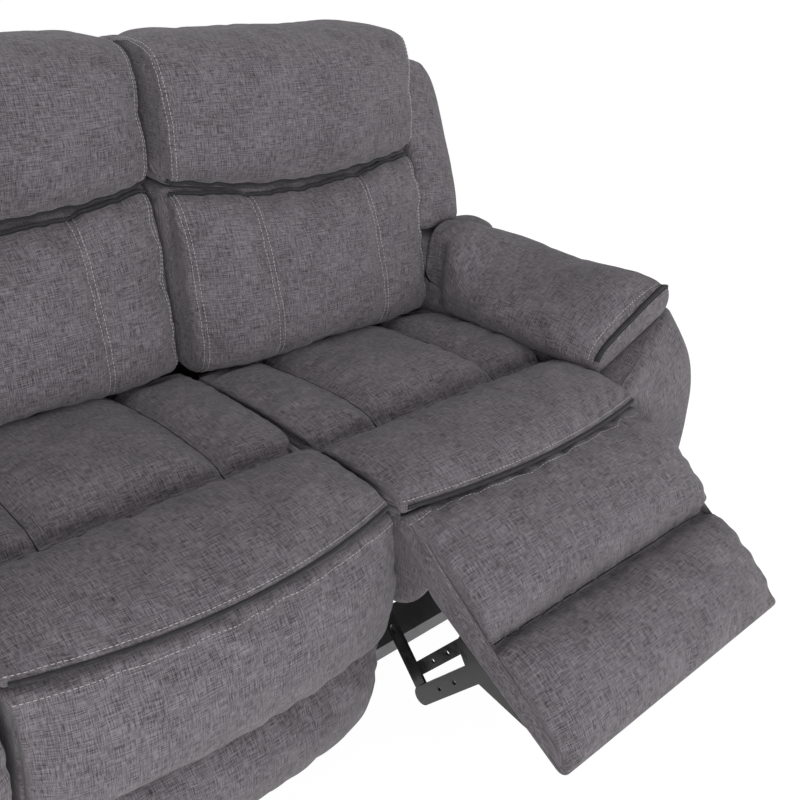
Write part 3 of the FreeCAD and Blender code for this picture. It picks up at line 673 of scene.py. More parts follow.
def seatOutline(seat, x):
    t = x / seatHalf
    nose = noseAt(seat, x)
    rise = 0.012 * (1 - 0.6 * t * t)
    seam = seat["seam"]
    return [
        (0.545, 0.344, "S"), (0.118, 0.344, "S"), (0.040, 0.424, "S"), (0.030, 0.447),
        (min(nose + 0.022, 0.014), 0.4560), (nose + 0.0035, 0.4585), (nose, 0.4645), (nose + 0.008, 0.4735),
        (0.045 + nose * 0.4, 0.4815 + rise * 0.6), (seam - 0.090, 0.4830 + rise),
        (seam - 0.035, 0.4785 + rise * 0.8), (seam, 0.4700, "S"), (seam + 0.035, 0.4785 + rise * 0.6),
        (0.330, 0.4800 + rise * 0.7),
        (0.430, 0.4750 + rise * 0.5), (0.505, 0.4670 + rise * 0.2), (0.541, 0.4520),
    ]


seatParts = {"radius": 0.009, "grid": 0.0076, "channel": 0.138, "rise": 0.015, "reach": 0.015,
             "held": 0.004, "side": (0.004, 0.03), "welt": (0.005, 0.012),
             "broad": (0.0024, 9.0, 9.0), "fine": (0.0010, 30.0, 22.0),
             "seamGathers": (0.0022, 0.026, 0.018), "channelGathers": (0.0020, 0.022, 0.020),
             "weltGathers": (0.0014, 0.018, 0.016), "endPull": 0.004,
             "cloth": {"pressure": 3.0, "shrink": -0.035, "frames": 16, "cap": 0.012}}


def buildSeat(name):
    seat, size, body, seed = seats[name], seatParts, seats[name]["carriage"], seats[name]["seed"]
    channel = size["channel"]
    stations = crossStations(seatHalf, size["radius"], size["grid"], (-channel, channel))
    shell = Shell(name + "SeatCushion", "seat", stations, lambda x: seatOutline(seat, x), placeYZ(seat),
                  size["grid"])
    x, v = shell.coordinates()
    weltV, seamV, endV = shell.vAt(6), shell.vAt(11), shell.vAt(16)
    top = fade(v, weltV - 0.004, weltV + 0.02) * (1 - fade(v, endV - 0.02, endV + 0.03))
    toSeam = np.abs(v - seamV)
    toChannel = np.where(v > seamV - 1e-6, np.abs(np.abs(x) - channel), 1.0)
    toSide = seatHalf - np.abs(x)
    toWelt = np.abs(v - weltV)
    near = np.minimum(toSeam, toChannel)
    lift = pillow(near, size["rise"], size["reach"]) + pillow(toSide, *size["side"])
    lift = lift - size["rise"] - size["side"][0]
    lift = lift + pillow(np.where(v > weltV, toWelt, 1.0), *size["welt"]) - size["welt"][0]
    lift = uneven(lift, x, v, seed, size["broad"], size["fine"])
    lift = lift + ripples(toSeam, x, seed + 2, *size["seamGathers"])
    lift = lift + ripples(toChannel, v, seed + 3, *size["channelGathers"])
    lift = lift + ripples(toWelt, x, seed + 4, *size["weltGathers"])
    endPull = np.exp(-(seatHalf - np.abs(x)) / 0.05) * np.exp(-toWelt / 0.045)
    lift = lift + size["endPull"] * endPull * fieldNoise(x, v, seed + 5, (14.0, 60.0))
    shell.displace(lift * top)
    pins = (top < 0.5) | (near < size["held"]) | (toSide < size["held"]) | (toWelt < 2 * size["held"])
    shell.swell(pins, size["cloth"], flip=name == "right")
    dress(shell.finish(), body, name + "_seat_cushion")
    edge = seatHalf - 0.010
    xs = np.linspace(-edge, edge, 70)
    addWelt(name + "SeatWelt", shell, [(a, weltV - 0.001) for a in xs], body)
    addStitches(body, shell.path([(a, weltV + weltSize["gap"]) for a in xs], stitchLift))
    # Black tubes along the transverse seam and the channel seams: painted shade in their folds.
    wide = np.linspace(-seatHalf + 0.004, seatHalf - 0.004, 90)
    addSeamShade(name + "SeatSeam", shell, [(a, seamV) for a in wide], body)
    for side in (-1, 1):
        vs = np.linspace(seamV + 0.001, endV - 0.01, 60)
        addSeamShade(f"{name}ChannelSeamShade{side}", shell, [(side * channel, a) for a in vs], body)
    print("seat cushion", name)


def padOutline(seat, x):
    t = x / padSize["half"]
    c = padSize["crown"] * (1 - t ** 4)
    bow = seat["padBow"] * (1 - t * t)

    def p(u, w, *corner):
        return (hingeY - w, hingeZ - u) + corner
    return [
        p(0.362, -0.0455, "S"), p(0.084, -0.0455, "S"), p(0.016, -0.0235), p(-0.012, -0.0205),
        p(-0.0238, -0.003 + bow * 0.5), p(-0.0190, 0.0165 + bow), p(-0.004, 0.0262 + bow),
        p(0.030, 0.0335 + c * 0.5 + bow), p(0.090, 0.034 + c + bow), p(0.150, 0.025 + c + bow),
        p(0.180, 0.013 + c * 0.7 + bow), p(0.1895, -0.013 + bow, "S"), p(0.202, 0.002 + c * 0.5 + bow),
        p(0.235, 0.007 + c + bow), p(0.285, 0.003 + c * 1.1 + bow), p(0.335, -0.009 + c * 0.9 + bow * 0.8),
        p(0.362, -0.021 + c * 0.4 + bow * 0.5), p(0.3715, -0.036 + bow * 0.2),
    ]


padSize = {"half": seatHalf - 0.0015, "radius": 0.009, "grid": 0.0078, "crown": 0.011,
           "crease": (0.007, 0.016), "side": (0.007, 0.022), "stitchHeight": 0.4440,
           "broad": (0.0026, 7.0, 9.0), "fine": (0.0010, 26.0, 20.0),
           "creaseGathers": (0.0022, 0.026, 0.020), "sideGathers": (0.0026, 0.026, 0.022),
           "cloth": {"pressure": 3.0, "shrink": -0.04, "frames": 16, "cap": 0.010}}


def buildPad(name):
    seat, size, seed = seats[name], padSize, seats[name]["seed"] + 50
    stations = crossStations(size["half"], size["radius"], size["grid"])
    shell = Shell(name + "FootrestPad", "pad", stations, lambda x: padOutline(seat, x), placeYZ(seat),
                  size["grid"])
    x, v = shell.coordinates()
    topV, creaseV, endV = shell.vAt(5), shell.vAt(11), shell.vAt(17)
    front = fade(v, topV - 0.01, topV + 0.03) * (1 - fade(v, endV - 0.03, endV))
    toCrease = np.abs(v - creaseV)
    toSide = size["half"] - np.abs(x)
    lift = pillow(toCrease, *size["crease"]) - size["crease"][0]
    lift = lift + pillow(toSide, *size["side"]) - size["side"][0]
    lift = uneven(lift, x, v, seed, size["broad"], size["fine"])
    lift = lift + ripples(toCrease, x, seed + 2, *size["creaseGathers"])
    lift = lift + ripples(toSide, v, seed + 3, *size["sideGathers"])
    shell.displace(lift * front)
    pins = (front < 0.35) | (toCrease < 0.005) | (toSide < 0.003)
    shell.swell(pins, size["cloth"], flip=name == "middle")
    if seat["angle"]:
        turnGrid(shell, seat)
    dress(shell.finish(), seat["foot"], seat["pad"])
    edge = size["half"] - 0.008
    runs = []
    for a in np.linspace(-edge, edge, 70):
        y = noseAt(seat, a) - 0.010 + seat["shift"] + depthOrigin
        runs.append(shell.nearest((a + seat["x"], y, size["stitchHeight"]), stitchLift))
    addStitches(seat["foot"], runs)
    # A black tube along the pad's crease: painted shade in its fold.
    wide = np.linspace(-edge - 0.004, edge + 0.004, 90)
    addSeamShade(name + "PadSeam", shell, [(a, creaseV) for a in wide], seat["foot"], 0.004)
    print("footrest pad", name)


def turnGrid(shell, seat):
    # Swings a closed pad forwards about the footrest hinge.
    y = shell.grid[:, :, 1] - depthOrigin - seat["shift"] - hingeY
    z = shell.grid[:, :, 2] - hingeZ
    c, s = math.cos(seat["angle"]), math.sin(seat["angle"])
    shell.grid[:, :, 1] = y * c + z * s + hingeY + depthOrigin + seat["shift"]
    shell.grid[:, :, 2] = -y * s + z * c + hingeZ


backSlope = 100.0 / 540.0
backLineStart = (0.640, 0.400)


def backLine(z):
    return backLineStart[0] + (z - backLineStart[1]) * backSlope


backParts = {"radius": 0.016, "grid": 0.0082, "stitch": 0.122, "stitchGap": 0.0055, "lumbarCrown": 0.028,
             "headCrown": 0.026, "seamDrop": 0.026, "lumbarEdges": (0.011, 0.019),
             "headEdges": (0.013, 0.021),
             "cloth": {"pressure": 3.5, "shrink": -0.045, "frames": 16, "cap": 0.014}}
lumbarSize = {"stitch": (0.0055, 0.014), "side": (0.007, 0.03), "top": (0.006, 0.02),
              "broad": (0.0034, 8.0, 7.0), "fine": (0.0012, 26.0, 24.0),
              "stitchGathers": (0.0020, 0.022, 0.022), "topGathers": (0.0034, 0.036, 0.022)}
headSize = {"side": (0.008, 0.035), "broad": (0.0046, 7.0, 7.0), "fine": (0.0014, 24.0, 22.0),
            "lowGathers": (0.0036, 0.034, 0.024), "sideGathers": (0.0026, 0.026, 0.022),
            "cornerGathers": (0.0050, 0.030, 0.016), "cap": 0.010}
backWelt = {"cord": 0.0058, "cordHeight": 0.0062, "groove": 0.0105, "grooveHeight": 0.0026, "lift": 0.0012,
            "offset": 0.0006}


def lumbarOutline(x):
    t = x / seatHalf
    c = backParts["lumbarCrown"] * (1 - t * t)
    d = backParts["seamDrop"] * (1 - t * t)
    side = 0.026 * abs(t) ** 6
    return [
        (backLine(0.7745), 0.7745, "S"), (backLine(0.476), 0.474, "S"), (0.575 + side, 0.4665),
        (0.532 + side, 0.4625), (0.5065 - c * 0.2 + side, 0.4775), (0.5010 - c * 0.6 + side, 0.510),
        (0.5110 - c * 0.9 + side * 0.8, 0.560), (0.530 - c + side * 0.5, 0.620 - d * 0.2),
        (0.552 - c, 0.690 - d * 0.5), (0.576 - c, 0.742 - d * 0.8), (0.593 - c * 0.9, 0.766 - d),
        (0.614 - c * 0.9, 0.7750 - d, "S"),
    ]


def buildLumbar(name):
    seat, size, body, seed = seats[name], lumbarSize, seats[name]["back"], seats[name]["seed"] + 100
    stitch, gap = backParts["stitch"], backParts["stitchGap"]
    stations = crossStations(seatHalf, backParts["radius"], backParts["grid"], (-stitch, stitch))
    shell = Shell(name + "LumbarCushion", "lumbar", stations, lumbarOutline, placeYZ(seat),
                  backParts["grid"])
    x, v = shell.coordinates()
    lowV, topV = shell.vAt(3), shell.vAt(11)
    front = fade(v, lowV - 0.01, lowV + 0.03) * (1 - fade(v, topV - 0.012, topV + 0.002))
    toStitch = np.abs(np.abs(x) - stitch)
    toTop = np.abs(v - topV)
    toSide = seatHalf - np.abs(x)
    lift = pillow(toStitch, *size["stitch"]) - size["stitch"][0]
    lift = lift + pillow(toSide, *size["side"]) - size["side"][0]
    lift = lift + pillow(toTop, *size["top"]) - size["top"][0]
    lift = uneven(lift, x, v, seed, size["broad"], size["fine"])
    lift = lift + ripples(toStitch, v, seed + 2, *size["stitchGathers"])
    lift = lift + ripples(toTop, x, seed + 3, *size["topGathers"])
    shell.displace(lift * front)
    pins = (front < 0.35) | (toStitch < 0.003) | (toSide < 0.004)
    shell.swell(pins, backParts["cloth"], flip=name == "right")
    dress(shell.finish(), body, name + "_lumbar_cushion")
    vs = np.linspace(lowV + 0.005, topV - 0.006, 46)
    places = []
    for side in (-1, 1):
        places += [side * stitch - gap, side * stitch + gap]
        places += [side * (seatHalf - inset) for inset in backParts["lumbarEdges"]]
    addStitchRows(shell, body, places, vs)
    addBackWelt(name + "LumbarWelt", shell, topV - 0.010, body)
    print("lumbar cushion", name)


def addBackWelt(name, shell, v, body):
    edge = seatHalf - 0.006
    addWelt(name, shell, [(a, v) for a in np.linspace(-edge, edge, 70)], body, backWelt)


def headOutline(x):
    t = x / seatHalf
    c = backParts["headCrown"] * (1 - t * t)
    d = backParts["seamDrop"] * (1 - t * t)
    return [
        (backLine(0.7785), 0.7785, "S"), (0.622 - c, 0.7782 - d, "S"), (0.601 - c, 0.7830 - d),
        (0.590 - c * 1.2, 0.802 - d * 0.8), (0.592 - c * 1.3, 0.851 - d * 0.3), (0.601 - c * 1.1, 0.905),
        (0.612 - c * 0.7, 0.952), (0.633 - c * 0.3, 0.980), (0.678, 0.9900 + c * 0.1), (0.750, 0.9890),
        (0.812, 0.982), (0.842, 0.968), (0.8495, 0.9465, "S"), (backLine(0.9465), 0.9465, "S"),
    ]


def buildHead(name):
    seat, size, body, seed = seats[name], headSize, seats[name]["back"], seats[name]["seed"] + 150
    stations = crossStations(seatHalf, backParts["radius"], backParts["grid"])
    shell = Shell(name + "HeadCushion", "head", stations, headOutline, placeYZ(seat), backParts["grid"])
    x, v = shell.coordinates()
    lowV, topV = shell.vAt(1), shell.vAt(11)
    front = fade(v, lowV, lowV + 0.03) * (1 - fade(v, topV - 0.02, topV + 0.01))
    toLow = np.abs(v - lowV)
    toSide = seatHalf - np.abs(x)
    lift = uneven(pillow(toSide, *size["side"]) - size["side"][0], x, v, seed, size["broad"], size["fine"])
    lift = lift + ripples(toLow, x, seed + 2, *size["lowGathers"])
    lift = lift + ripples(toSide, v, seed + 3, *size["sideGathers"])
    lift = lift + ripples(np.hypot(toLow, toSide), x - v, seed + 4, *size["cornerGathers"])
    shell.displace(lift * front)
    pins = (front < 0.35) | (toSide < 0.004)
    shell.swell(pins, dict(backParts["cloth"], cap=size["cap"]), flip=name == "left")
    dress(shell.finish(), body, name + "_head_cushion")
    addBackWelt(name + "HeadWelt", shell, lowV + 0.017, body)
    vs = np.linspace(lowV + 0.02, topV - 0.02, 70)
    places = [side * (seatHalf - inset) for side in (-1, 1) for inset in backParts["headEdges"]]
    addStitchRows(shell, body, places, vs)
    print("head cushion", name)


for key in seats:
    buildSeat(key)
    buildPad(key)
    buildLumbar(key)
    buildHead(key)


# Arms
armSize = {"slopeLow": 0.470, "slope": 78.0 / 190.0, "padFront": 0.066, "padRear": 0.5095, "inner": 0.007,
           "outer": 0.034, "grid": 0.010, "inset": 0.0005, "broad": (0.003, 8.0, 6.0),
           "fine": (0.0009, 24.0, 20.0), "lower": 0.002, "arc": 0.2125, "arcAngles": (12, 30, 48, 66, 80),
           "front": [(0.047, 0.030), (0.075, 0.021), (0.13, 0.006), (0.20, -0.005), (0.30, -0.011),
                     (0.40, -0.012), (0.45, -0.004), (0.49, 0.013), (0.526, 0.045), (0.548, 0.062),
                     (0.60, 0.085)]}
armPadSize = {"grid": 0.008, "step": 0.0085, "radius": 0.007, "swellRun": 0.030, "bulge": 0.026,
              "end": (0.004, 0.02), "broad": (0.0034, 8.0, 9.0), "fine": (0.0013, 24.0, 26.0),
              "endGathers": (0.003, 0.030, 0.022), "welt": 0.003, "stitch": 0.016,
              "cloth": {"pressure": 3.0, "shrink": -0.04, "frames": 16, "cap": 0.008}}
armWelt = {"cord": 0.0058, "cordHeight": 0.0056, "groove": 0.0110, "grooveHeight": 0.0026, "lift": 0.0012,
           "offset": 0.0}


def sideName(side):
    return "right" if side > 0 else "left"


def armTop(across):
    return armSize["slopeLow"] + across * armSize["slope"]


def armFront(z):
    return float(np.interp(z, [a for a, _ in armSize["front"]], [b for _, b in armSize["front"]]))


def armOutline(across):
    top = armTop(across) - 0.001
    shelf = backPivotY - carriageTravel
    r = armSize["arc"]
    rear = armSize["padRear"]
    arc = [(shelf + r * math.sin(math.radians(a)), backPivotZ + r * math.cos(math.radians(a)))
           for a in armSize["arcAngles"]]
    front = [(armFront(z), float(z)) for z in np.linspace(0.047, top - 0.012, 9)]
    front[0] = front[0] + ("S",)
    return front + [
        (armFront(top) + 0.010, top - 0.001), (armFront(top) + 0.06, top), (rear - 0.02, top),
        (rear + 0.001, top + 0.002, "S"), (rear + 0.003, 0.580), (rear + 0.014, 0.600),
        (0.552, 0.6080)] + arc + [
        (shelf + r, backPivotZ + 0.006, "S"), (0.790, backPivotZ - 0.002), (0.803, backPivotZ - 0.015),
        (0.8035, 0.30), (0.8035, 0.047, "S")]


def buildArmCover(side):
    name, size, seed = sideName(side), armSize, 201 + side
    half = (armOuter - armInner) / 2
    near = crossStations(half - size["inset"], size["inner"], size["grid"])
    far = crossStations(half - size["inset"], size["outer"], size["grid"])
    stations = [s for s in near if s[0] < 0] + [s for s in far if s[0] >= 0]
    centre = (armInner + armOuter) / 2

    def put(x, loop):
        places = np.full(len(loop), side * (x + centre))
        return np.stack([places, loop[:, 0] + depthOrigin, loop[:, 1]], axis=1)
    shell = Shell(name + "ArmCover", "arm", stations, lambda x: armOutline(x + half), put, size["grid"])
    x, v = shell.coordinates()
    lift = uneven(0.0, x, v, seed, size["broad"], size["fine"]) - size["lower"]
    shell.displace(lift * fade(half - np.abs(x), 0.0, 0.02))
    dress(shell.finish(), "base", name + "_arm_cover")
    print("arm cover", name)


def mixOutline(low, high, share):
    made = []
    for p, q in zip(low, high):
        made.append((p[0] + (q[0] - p[0]) * share, p[1] + (q[1] - p[1]) * share) + tuple(p[2:]))
    return made


def armPadOutline(y):
    # A straight slanted front panel that swells into a rounded pillow behind.
    front = armSize["padFront"]
    t = (y - front) / (armSize["padRear"] - front)
    full = 1.0 - math.exp(-max(y - front, 0.0) / armPadSize["swellRun"])
    rear = min(max((y - 0.33) / 0.15, 0.0), 1.0)
    rear = rear * rear * (3 - 2 * rear)
    wave = 0.006 + 0.008 * math.cos(2 * math.pi * t)
    bulge = armPadSize["bulge"] * min(max((0.454 - y) / 0.03, 0.0), 1.0) ** 0.5
    foot = [(0.001, armTop(0.001), "S"), (0.190, armTop(0.190), "S")]
    panel = foot + [(0.199, 0.563), (0.200, 0.583), (0.192, 0.597), (0.176, 0.602), (0.135, 0.583),
                    (0.090, 0.559), (0.045, 0.536), (0.016, 0.519), (0.001, 0.504), (-0.002, 0.486)]
    body = foot + [(0.200, 0.560), (0.204, 0.575), (0.199, 0.584 + wave), (0.180, 0.594 + wave),
                   (0.140, 0.6005 + wave), (0.095, 0.594 + wave), (0.050 - bulge * 0.3, 0.576 + wave * 0.7),
                   (0.010 - bulge * 0.8, 0.547 + wave * 0.4), (-0.001 - bulge, 0.514),
                   (0.001 - bulge * 0.8, 0.488)]
    tail = foot + [(0.200, 0.560), (0.204, 0.575), (0.198, 0.588), (0.180, 0.598), (0.140, 0.612),
                   (0.095, 0.630), (0.048, 0.638), (0.012 - bulge * 0.8, 0.618), (-0.001 - bulge, 0.560),
                   (0.001 - bulge * 0.8, 0.500)]
    return mixOutline(panel, mixOutline(body, tail, rear), full)


def buildArmPad(side):
    name, size, seed = sideName(side), armPadSize, 301 + side
    middle = (armSize["padFront"] + armSize["padRear"]) / 2
    half = (armSize["padRear"] - armSize["padFront"]) / 2
    stations = crossStations(half, size["radius"], size["step"], arcSteps=4)

    def put(y, loop):
        depths = np.full(len(loop), y + middle + depthOrigin)
        return np.stack([side * (armInner + loop[:, 0]), depths, loop[:, 1]], axis=1)
    shell = Shell(name + "ArmPad", "armPad", stations, lambda y: armPadOutline(y + middle), put,
                  size["grid"])
    y, v = shell.coordinates()
    topStart = shell.vAt(1)
    toEnd = half - np.abs(y)
    upper = fade(v, topStart, topStart + 0.02)
    lift = uneven(pillow(toEnd, *size["end"]) - size["end"][0], y, v, seed, size["broad"], size["fine"])
    lift = lift + ripples(toEnd, v, seed + 2, *size["endGathers"])
    shell.displace(lift * upper * fade(toEnd, 0.0, 0.010))
    pins = (upper < 0.4) | (toEnd < 0.008)
    shell.swell(pins, size["cloth"], mirror=side < 0)
    dress(shell.finish(), "base", name + "_arm_pad")
    vs = np.linspace(shell.vAt(3) + 0.016, shell.vAt(10) + 0.006, 50)
    addWelt(name + "ArmWelt", shell, [(size["welt"] - half, a) for a in vs], "base", armWelt)
    addStitches("base", shell.path([(size["stitch"] - half, a) for a in vs], stitchLift))
    print("arm pad", name)


wingSize = {"width": 0.140, "round": 0.067, "radius": 0.2175, "skin": 0.0008, "start": 97.0, "end": 32.0,
            "grid": 0.010, "lean": 0.26, "rearLine": (0.771, 0.345), "rearSlope": 0.11, "rearSkin": 0.0115,
            "inset": 0.0010,
            "broad": (0.0034, 9.0, 7.0), "fine": (0.001, 26.0, 22.0), "lower": 0.001,
            "reaches": [0.108, 0.116, 0.123, 0.129, 0.134, 0.1375, 0.1395],
            "top": [(0.0, 0.937), (0.021, 0.936), (0.049, 0.932), (0.073, 0.924), (0.097, 0.899),
                    (0.115, 0.861), (0.128, 0.814), (0.136, 0.760), (0.140, 0.712)]}


def wingOutline(reach):
    size = wingSize
    top = float(np.interp(reach, [a for a, _ in size["top"]], [b for _, b in size["top"]]))
    past = max(reach - (size["width"] - size["round"]), 0.0)
    inset = size["round"] - math.sqrt(max(size["round"] ** 2 - past ** 2, 0.0))
    r = size["radius"] + size["skin"]
    rearY, rearZ = size["rearLine"]

    def rim(angle):
        a = math.radians(angle)
        return (backPivotY + r * math.cos(a), backPivotZ + r * math.sin(a))

    def rear(z):
        return rearY + (z - rearZ) * size["rearSlope"] + size["rearSkin"] - inset * 0.3
    angles = np.linspace(size["start"] - math.degrees(inset / r), size["end"], 5)
    first, last = rim(angles[0]), rim(size["end"])
    frontTop = first[0] + (top - first[1]) * size["lean"]
    rearLow, rearTop = rear(last[1]), rear(top)
    return [
        first + ("S",), rim(angles[1]), rim(angles[2]), rim(angles[3]), last + ("S",),
        (rearLow, last[1] + 0.005, "S"), (0.5 * (rearLow + rearTop), 0.5 * (last[1] + top)),
        (rearTop - 0.004, top - 0.022), (rearTop - 0.03, top - 0.002),
        (0.5 * (rearTop + frontTop), top + 0.003), (frontTop + 0.030, top - 0.002),
        (frontTop + 0.007, top - 0.016),
        (0.5 * (first[0] + frontTop) - 0.008, 0.5 * (first[1] + top)), (first[0] - 0.004, first[1] + 0.012),
    ]


def buildWing(side):
    name, size, seed = sideName(side), wingSize, 401 + side
    seat, width = seats[name], wingSize["width"]
    start = armInner - size["inset"]
    reaches = list(np.linspace(0.0, 0.100, 12)) + size["reaches"]
    stations = [(float(a), 0.006 if a == 0 else 0.0) for a in reaches]
    stations += [(width, 0.003), (width + 0.0012, 0.009)]

    def put(x, loop):
        y = loop[:, 0] + depthOrigin + seat["shift"]
        return np.stack([np.full(len(loop), side * (start + x)), y, loop[:, 1]], axis=1)
    shell = Shell(name + "BackWing", "wing", stations, lambda x: wingOutline(min(x, width)), put,
                  size["grid"])
    x, v = shell.coordinates()
    lift = uneven(0.0, x, v, seed, size["broad"], size["fine"]) - size["lower"]
    upper = fade(v, shell.vAt(5), shell.vAt(5) + 0.03)
    shell.displace(lift * upper * fade(x, 0.0, 0.02))
    dress(shell.finish(), seat["back"], name + "_back_wing")
    print("wing", name)


for side in (-1, 1):
    buildArmCover(side)
    buildArmPad(side)
    buildWing(side)


# Cloth flaps that close the gap between the seat front and the opening footrest
flapSize = {"thickness": 0.005, "gap": 0.0024, "puff": 0.0025, "front": 0.005, "drawn": 0.0348,
            "rows": (1.0, 0.93, 0.8, 0.6, 0.35),
            "path": [(0.050, 0.452), (-0.010, 0.4555), (-0.056, 0.433), (-0.091, 0.407), (-0.088, 0.388),
                     (-0.080, 0.366), (-0.070, 0.346), (-0.050, 0.320), (-0.023, 0.301), (0.012, 0.292),
                     (0.050, 0.292)]}


def buildFlap(name, side):
    seat, size = seats[name], flapSize
    loop = np.array(size["path"]) + np.array([size["drawn"], 0.0])
    outer = side * (seatHalf - size["gap"])
    inner = loop.mean(axis=0)
    rows = [inner + (loop - inner) * share for share in size["rows"]]
    reach = hingeY - loop[:, 0].min()
    closing = seat["angle"] - openAngle

    def put(p, depth):
        weight = min(max((hingeY + size["front"] - p[0]) / reach, 0.0), 1.0)
        weight = weight * weight * (3 - 2 * weight)
        a = closing * weight
        d = p - np.array([hingeY, hingeZ])
        y = d[0] * math.cos(a) + d[1] * math.sin(a)
        z = -d[0] * math.sin(a) + d[1] * math.cos(a)
        return (seat["x"] + outer - side * depth, y + hingeY + seat["shift"] + depthOrigin, z + hingeZ)
    bm = bmesh.new()
    layer = bm.loops.layers.uv.new("cloth")
    grid = []
    for k, row in enumerate(rows):
        puff = size["puff"] * math.sin(math.pi * min(k / 4.0, 1.0))
        grid.append([bm.verts.new(put(p, size["thickness"] * 0.5 - puff)) for p in row])
    centre = bm.verts.new(put(inner, 0.0))
    back = [bm.verts.new(put(p, size["thickness"])) for p in rows[0]]
    backCentre = bm.verts.new(put(inner, size["thickness"]))
    for k in range(len(loop)):
        n = (k + 1) % len(loop)
        for a, b in zip(grid[:-1], grid[1:]):
            bm.faces.new((a[k], a[n], b[n], b[k]))
        bm.faces.new((grid[-1][k], grid[-1][n], centre))
        bm.faces.new((back[n], back[k], backCentre))
        bm.faces.new((grid[0][n], grid[0][k], back[k], back[n]))
    bmesh.ops.recalc_face_normals(bm, faces=bm.faces)
    for face in bm.faces:
        face.smooth = True
        for corner in face.loops:
            corner[layer].uv = (corner.vert.co.y, corner.vert.co.z)
    mesh = bpy.data.meshes.new(f"{name}Flap{side}")
    bm.to_mesh(mesh)
    bm.free()
    mesh.materials.append(fabric)
    made = subdivide(linked(f"{name}Flap{side}", mesh))
    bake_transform(made)


for side in (-1, 1):
    buildFlap("right", side)
print("flaps made")


# Stitches along every recorded run, made by one node tree
def stitchTree():
    tree = bpy.data.node_groups.new("stitchRow", "GeometryNodeTree")
    tree.interface.new_socket(name="Geometry", in_out="INPUT", socket_type="NodeSocketGeometry")
    for label, value in (("Pitch", 0.0068), ("Length", 0.0052), ("Thickness", 0.0011)):
        socket = tree.interface.new_socket(name=label, in_out="INPUT", socket_type="NodeSocketFloat")
        socket.default_value = value
    tree.interface.new_socket(name="Thread", in_out="INPUT", socket_type="NodeSocketMaterial")
    tree.interface.new_socket(name="Geometry", in_out="OUTPUT", socket_type="NodeSocketGeometry")
    entry = node(tree, "NodeGroupInput")
    toCurve = node(tree, "GeometryNodeMeshToCurve")
    resample = node(tree, "GeometryNodeResampleCurve", mode="LENGTH")
    tangent = node(tree, "GeometryNodeInputTangent")
    align = node(tree, "FunctionNodeAlignRotationToVector", axis="Z")
    bead = node(tree, "GeometryNodeMeshUVSphere", Segments=6, Rings=4, Radius=0.5)
    size = node(tree, "ShaderNodeCombineXYZ")
    instance = node(tree, "GeometryNodeInstanceOnPoints")
    realize = node(tree, "GeometryNodeRealizeInstances")
    paint = node(tree, "GeometryNodeSetMaterial")
    out = node(tree, "NodeGroupOutput")
    for source, output, target, entrance in (
            (entry, "Geometry", toCurve, "Mesh"), (toCurve, "Curve", resample, "Curve"),
            (entry, "Pitch", resample, "Length"), (tangent, "Tangent", align, "Vector"),
            (entry, "Thickness", size, "X"), (entry, "Thickness", size, "Y"), (entry, "Length", size, "Z"),
            (resample, "Curve", instance, "Points"), (bead, "Mesh", instance, "Instance"),
            (align, "Rotation", instance, "Rotation"), (size, "Vector", instance, "Scale"),
            (instance, "Instances", realize, "Geometry"), (realize, "Geometry", paint, "Geometry"),
            (entry, "Thread", paint, "Material"), (paint, "Geometry", out, "Geometry")):
        tree.links.new(source.outputs[output], target.inputs[entrance])
    return tree


def bakeStitches(name, mesh, tree, body):
    source = linked(name + "Source", mesh)
    modifier = source.modifiers.new("nodes", "NODES")
    modifier.node_group = tree
    for item in tree.interface.items_tree:
        if item.name == "Thread":
            modifier[item.identifier] = thread
    bpy.context.view_layer.update()
    evaluated = source.evaluated_get(bpy.context.evaluated_depsgraph_get())
    made = linked(name, bpy.data.meshes.new_from_object(evaluated))
    bpy.data.objects.remove(source)
    dress(made, body)
    for poly in made.data.polygons:
        poly.use_smooth = True


stitchNodes = stitchTree()
for body, runs in stitchRuns.items():
    verts, edges = [], []
    for run in runs:
        first = len(verts)
        verts += [tuple(p) for p, _ in run]
        edges += [(first + i, first + i + 1) for i in range(len(run) - 1)]
    mesh = bpy.data.meshes.new(body + "StitchLines")
    mesh.from_pydata(verts, edges, [])
    bakeStitches(body + "Stitches", mesh, stitchNodes, body)
print("stitches made")


def cadMaterial(material, *parts):
    for name, obj in frame["nodes"].items():
        if any(part in name for part in parts):
            obj.data.materials.clear()
            obj.data.materials.append(material)


cadMaterial(timber, "seat_frame", "arm_frames", "partitions", "rear_rail")
cadMaterial(blackSteel, "side_plates", "brackets", "links", "channels", "tracks")
# The cross rails take the lighter copy of the black steel: painted highlight.
cadMaterial(railLitSteel, "cross_rails")
cadMaterial(blackPlastic, "feet", "bezels", "release_lever")
cadMaterial(lining, "webbing", "back_frame", "board")


def mapCadCloth(name):
    # A copy of a cloth-covered board with a map in metres, so that the weave fits it.
    source = frame["nodes"][name]
    mesh = source.data.copy()
    made = linked(name + "Cloth", mesh)
    bm = bmesh.new()
    bm.from_mesh(mesh)
    bmesh.ops.remove_doubles(bm, verts=bm.verts, dist=0.00001)
    for old in list(bm.loops.layers.uv):
        bm.loops.layers.uv.remove(old)
    layer = bm.loops.layers.uv.new("cloth")
    for face in bm.faces:
        flatX = abs(face.normal.x) > 0.7
        for loop in face.loops:
            co = loop.vert.co
            loop[layer].uv = (co.y, co.z) if flatX else (co.x, co.z + co.y * 0.2)
    bm.to_mesh(mesh)
    bm.free()
    mesh.materials.clear()
    mesh.materials.append(fabric)
    dress(made, source["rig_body"], name)


for name in ("left_back_panel", "middle_back_panel", "right_back_panel", "rear_valance"):
    mapCadCloth(name)


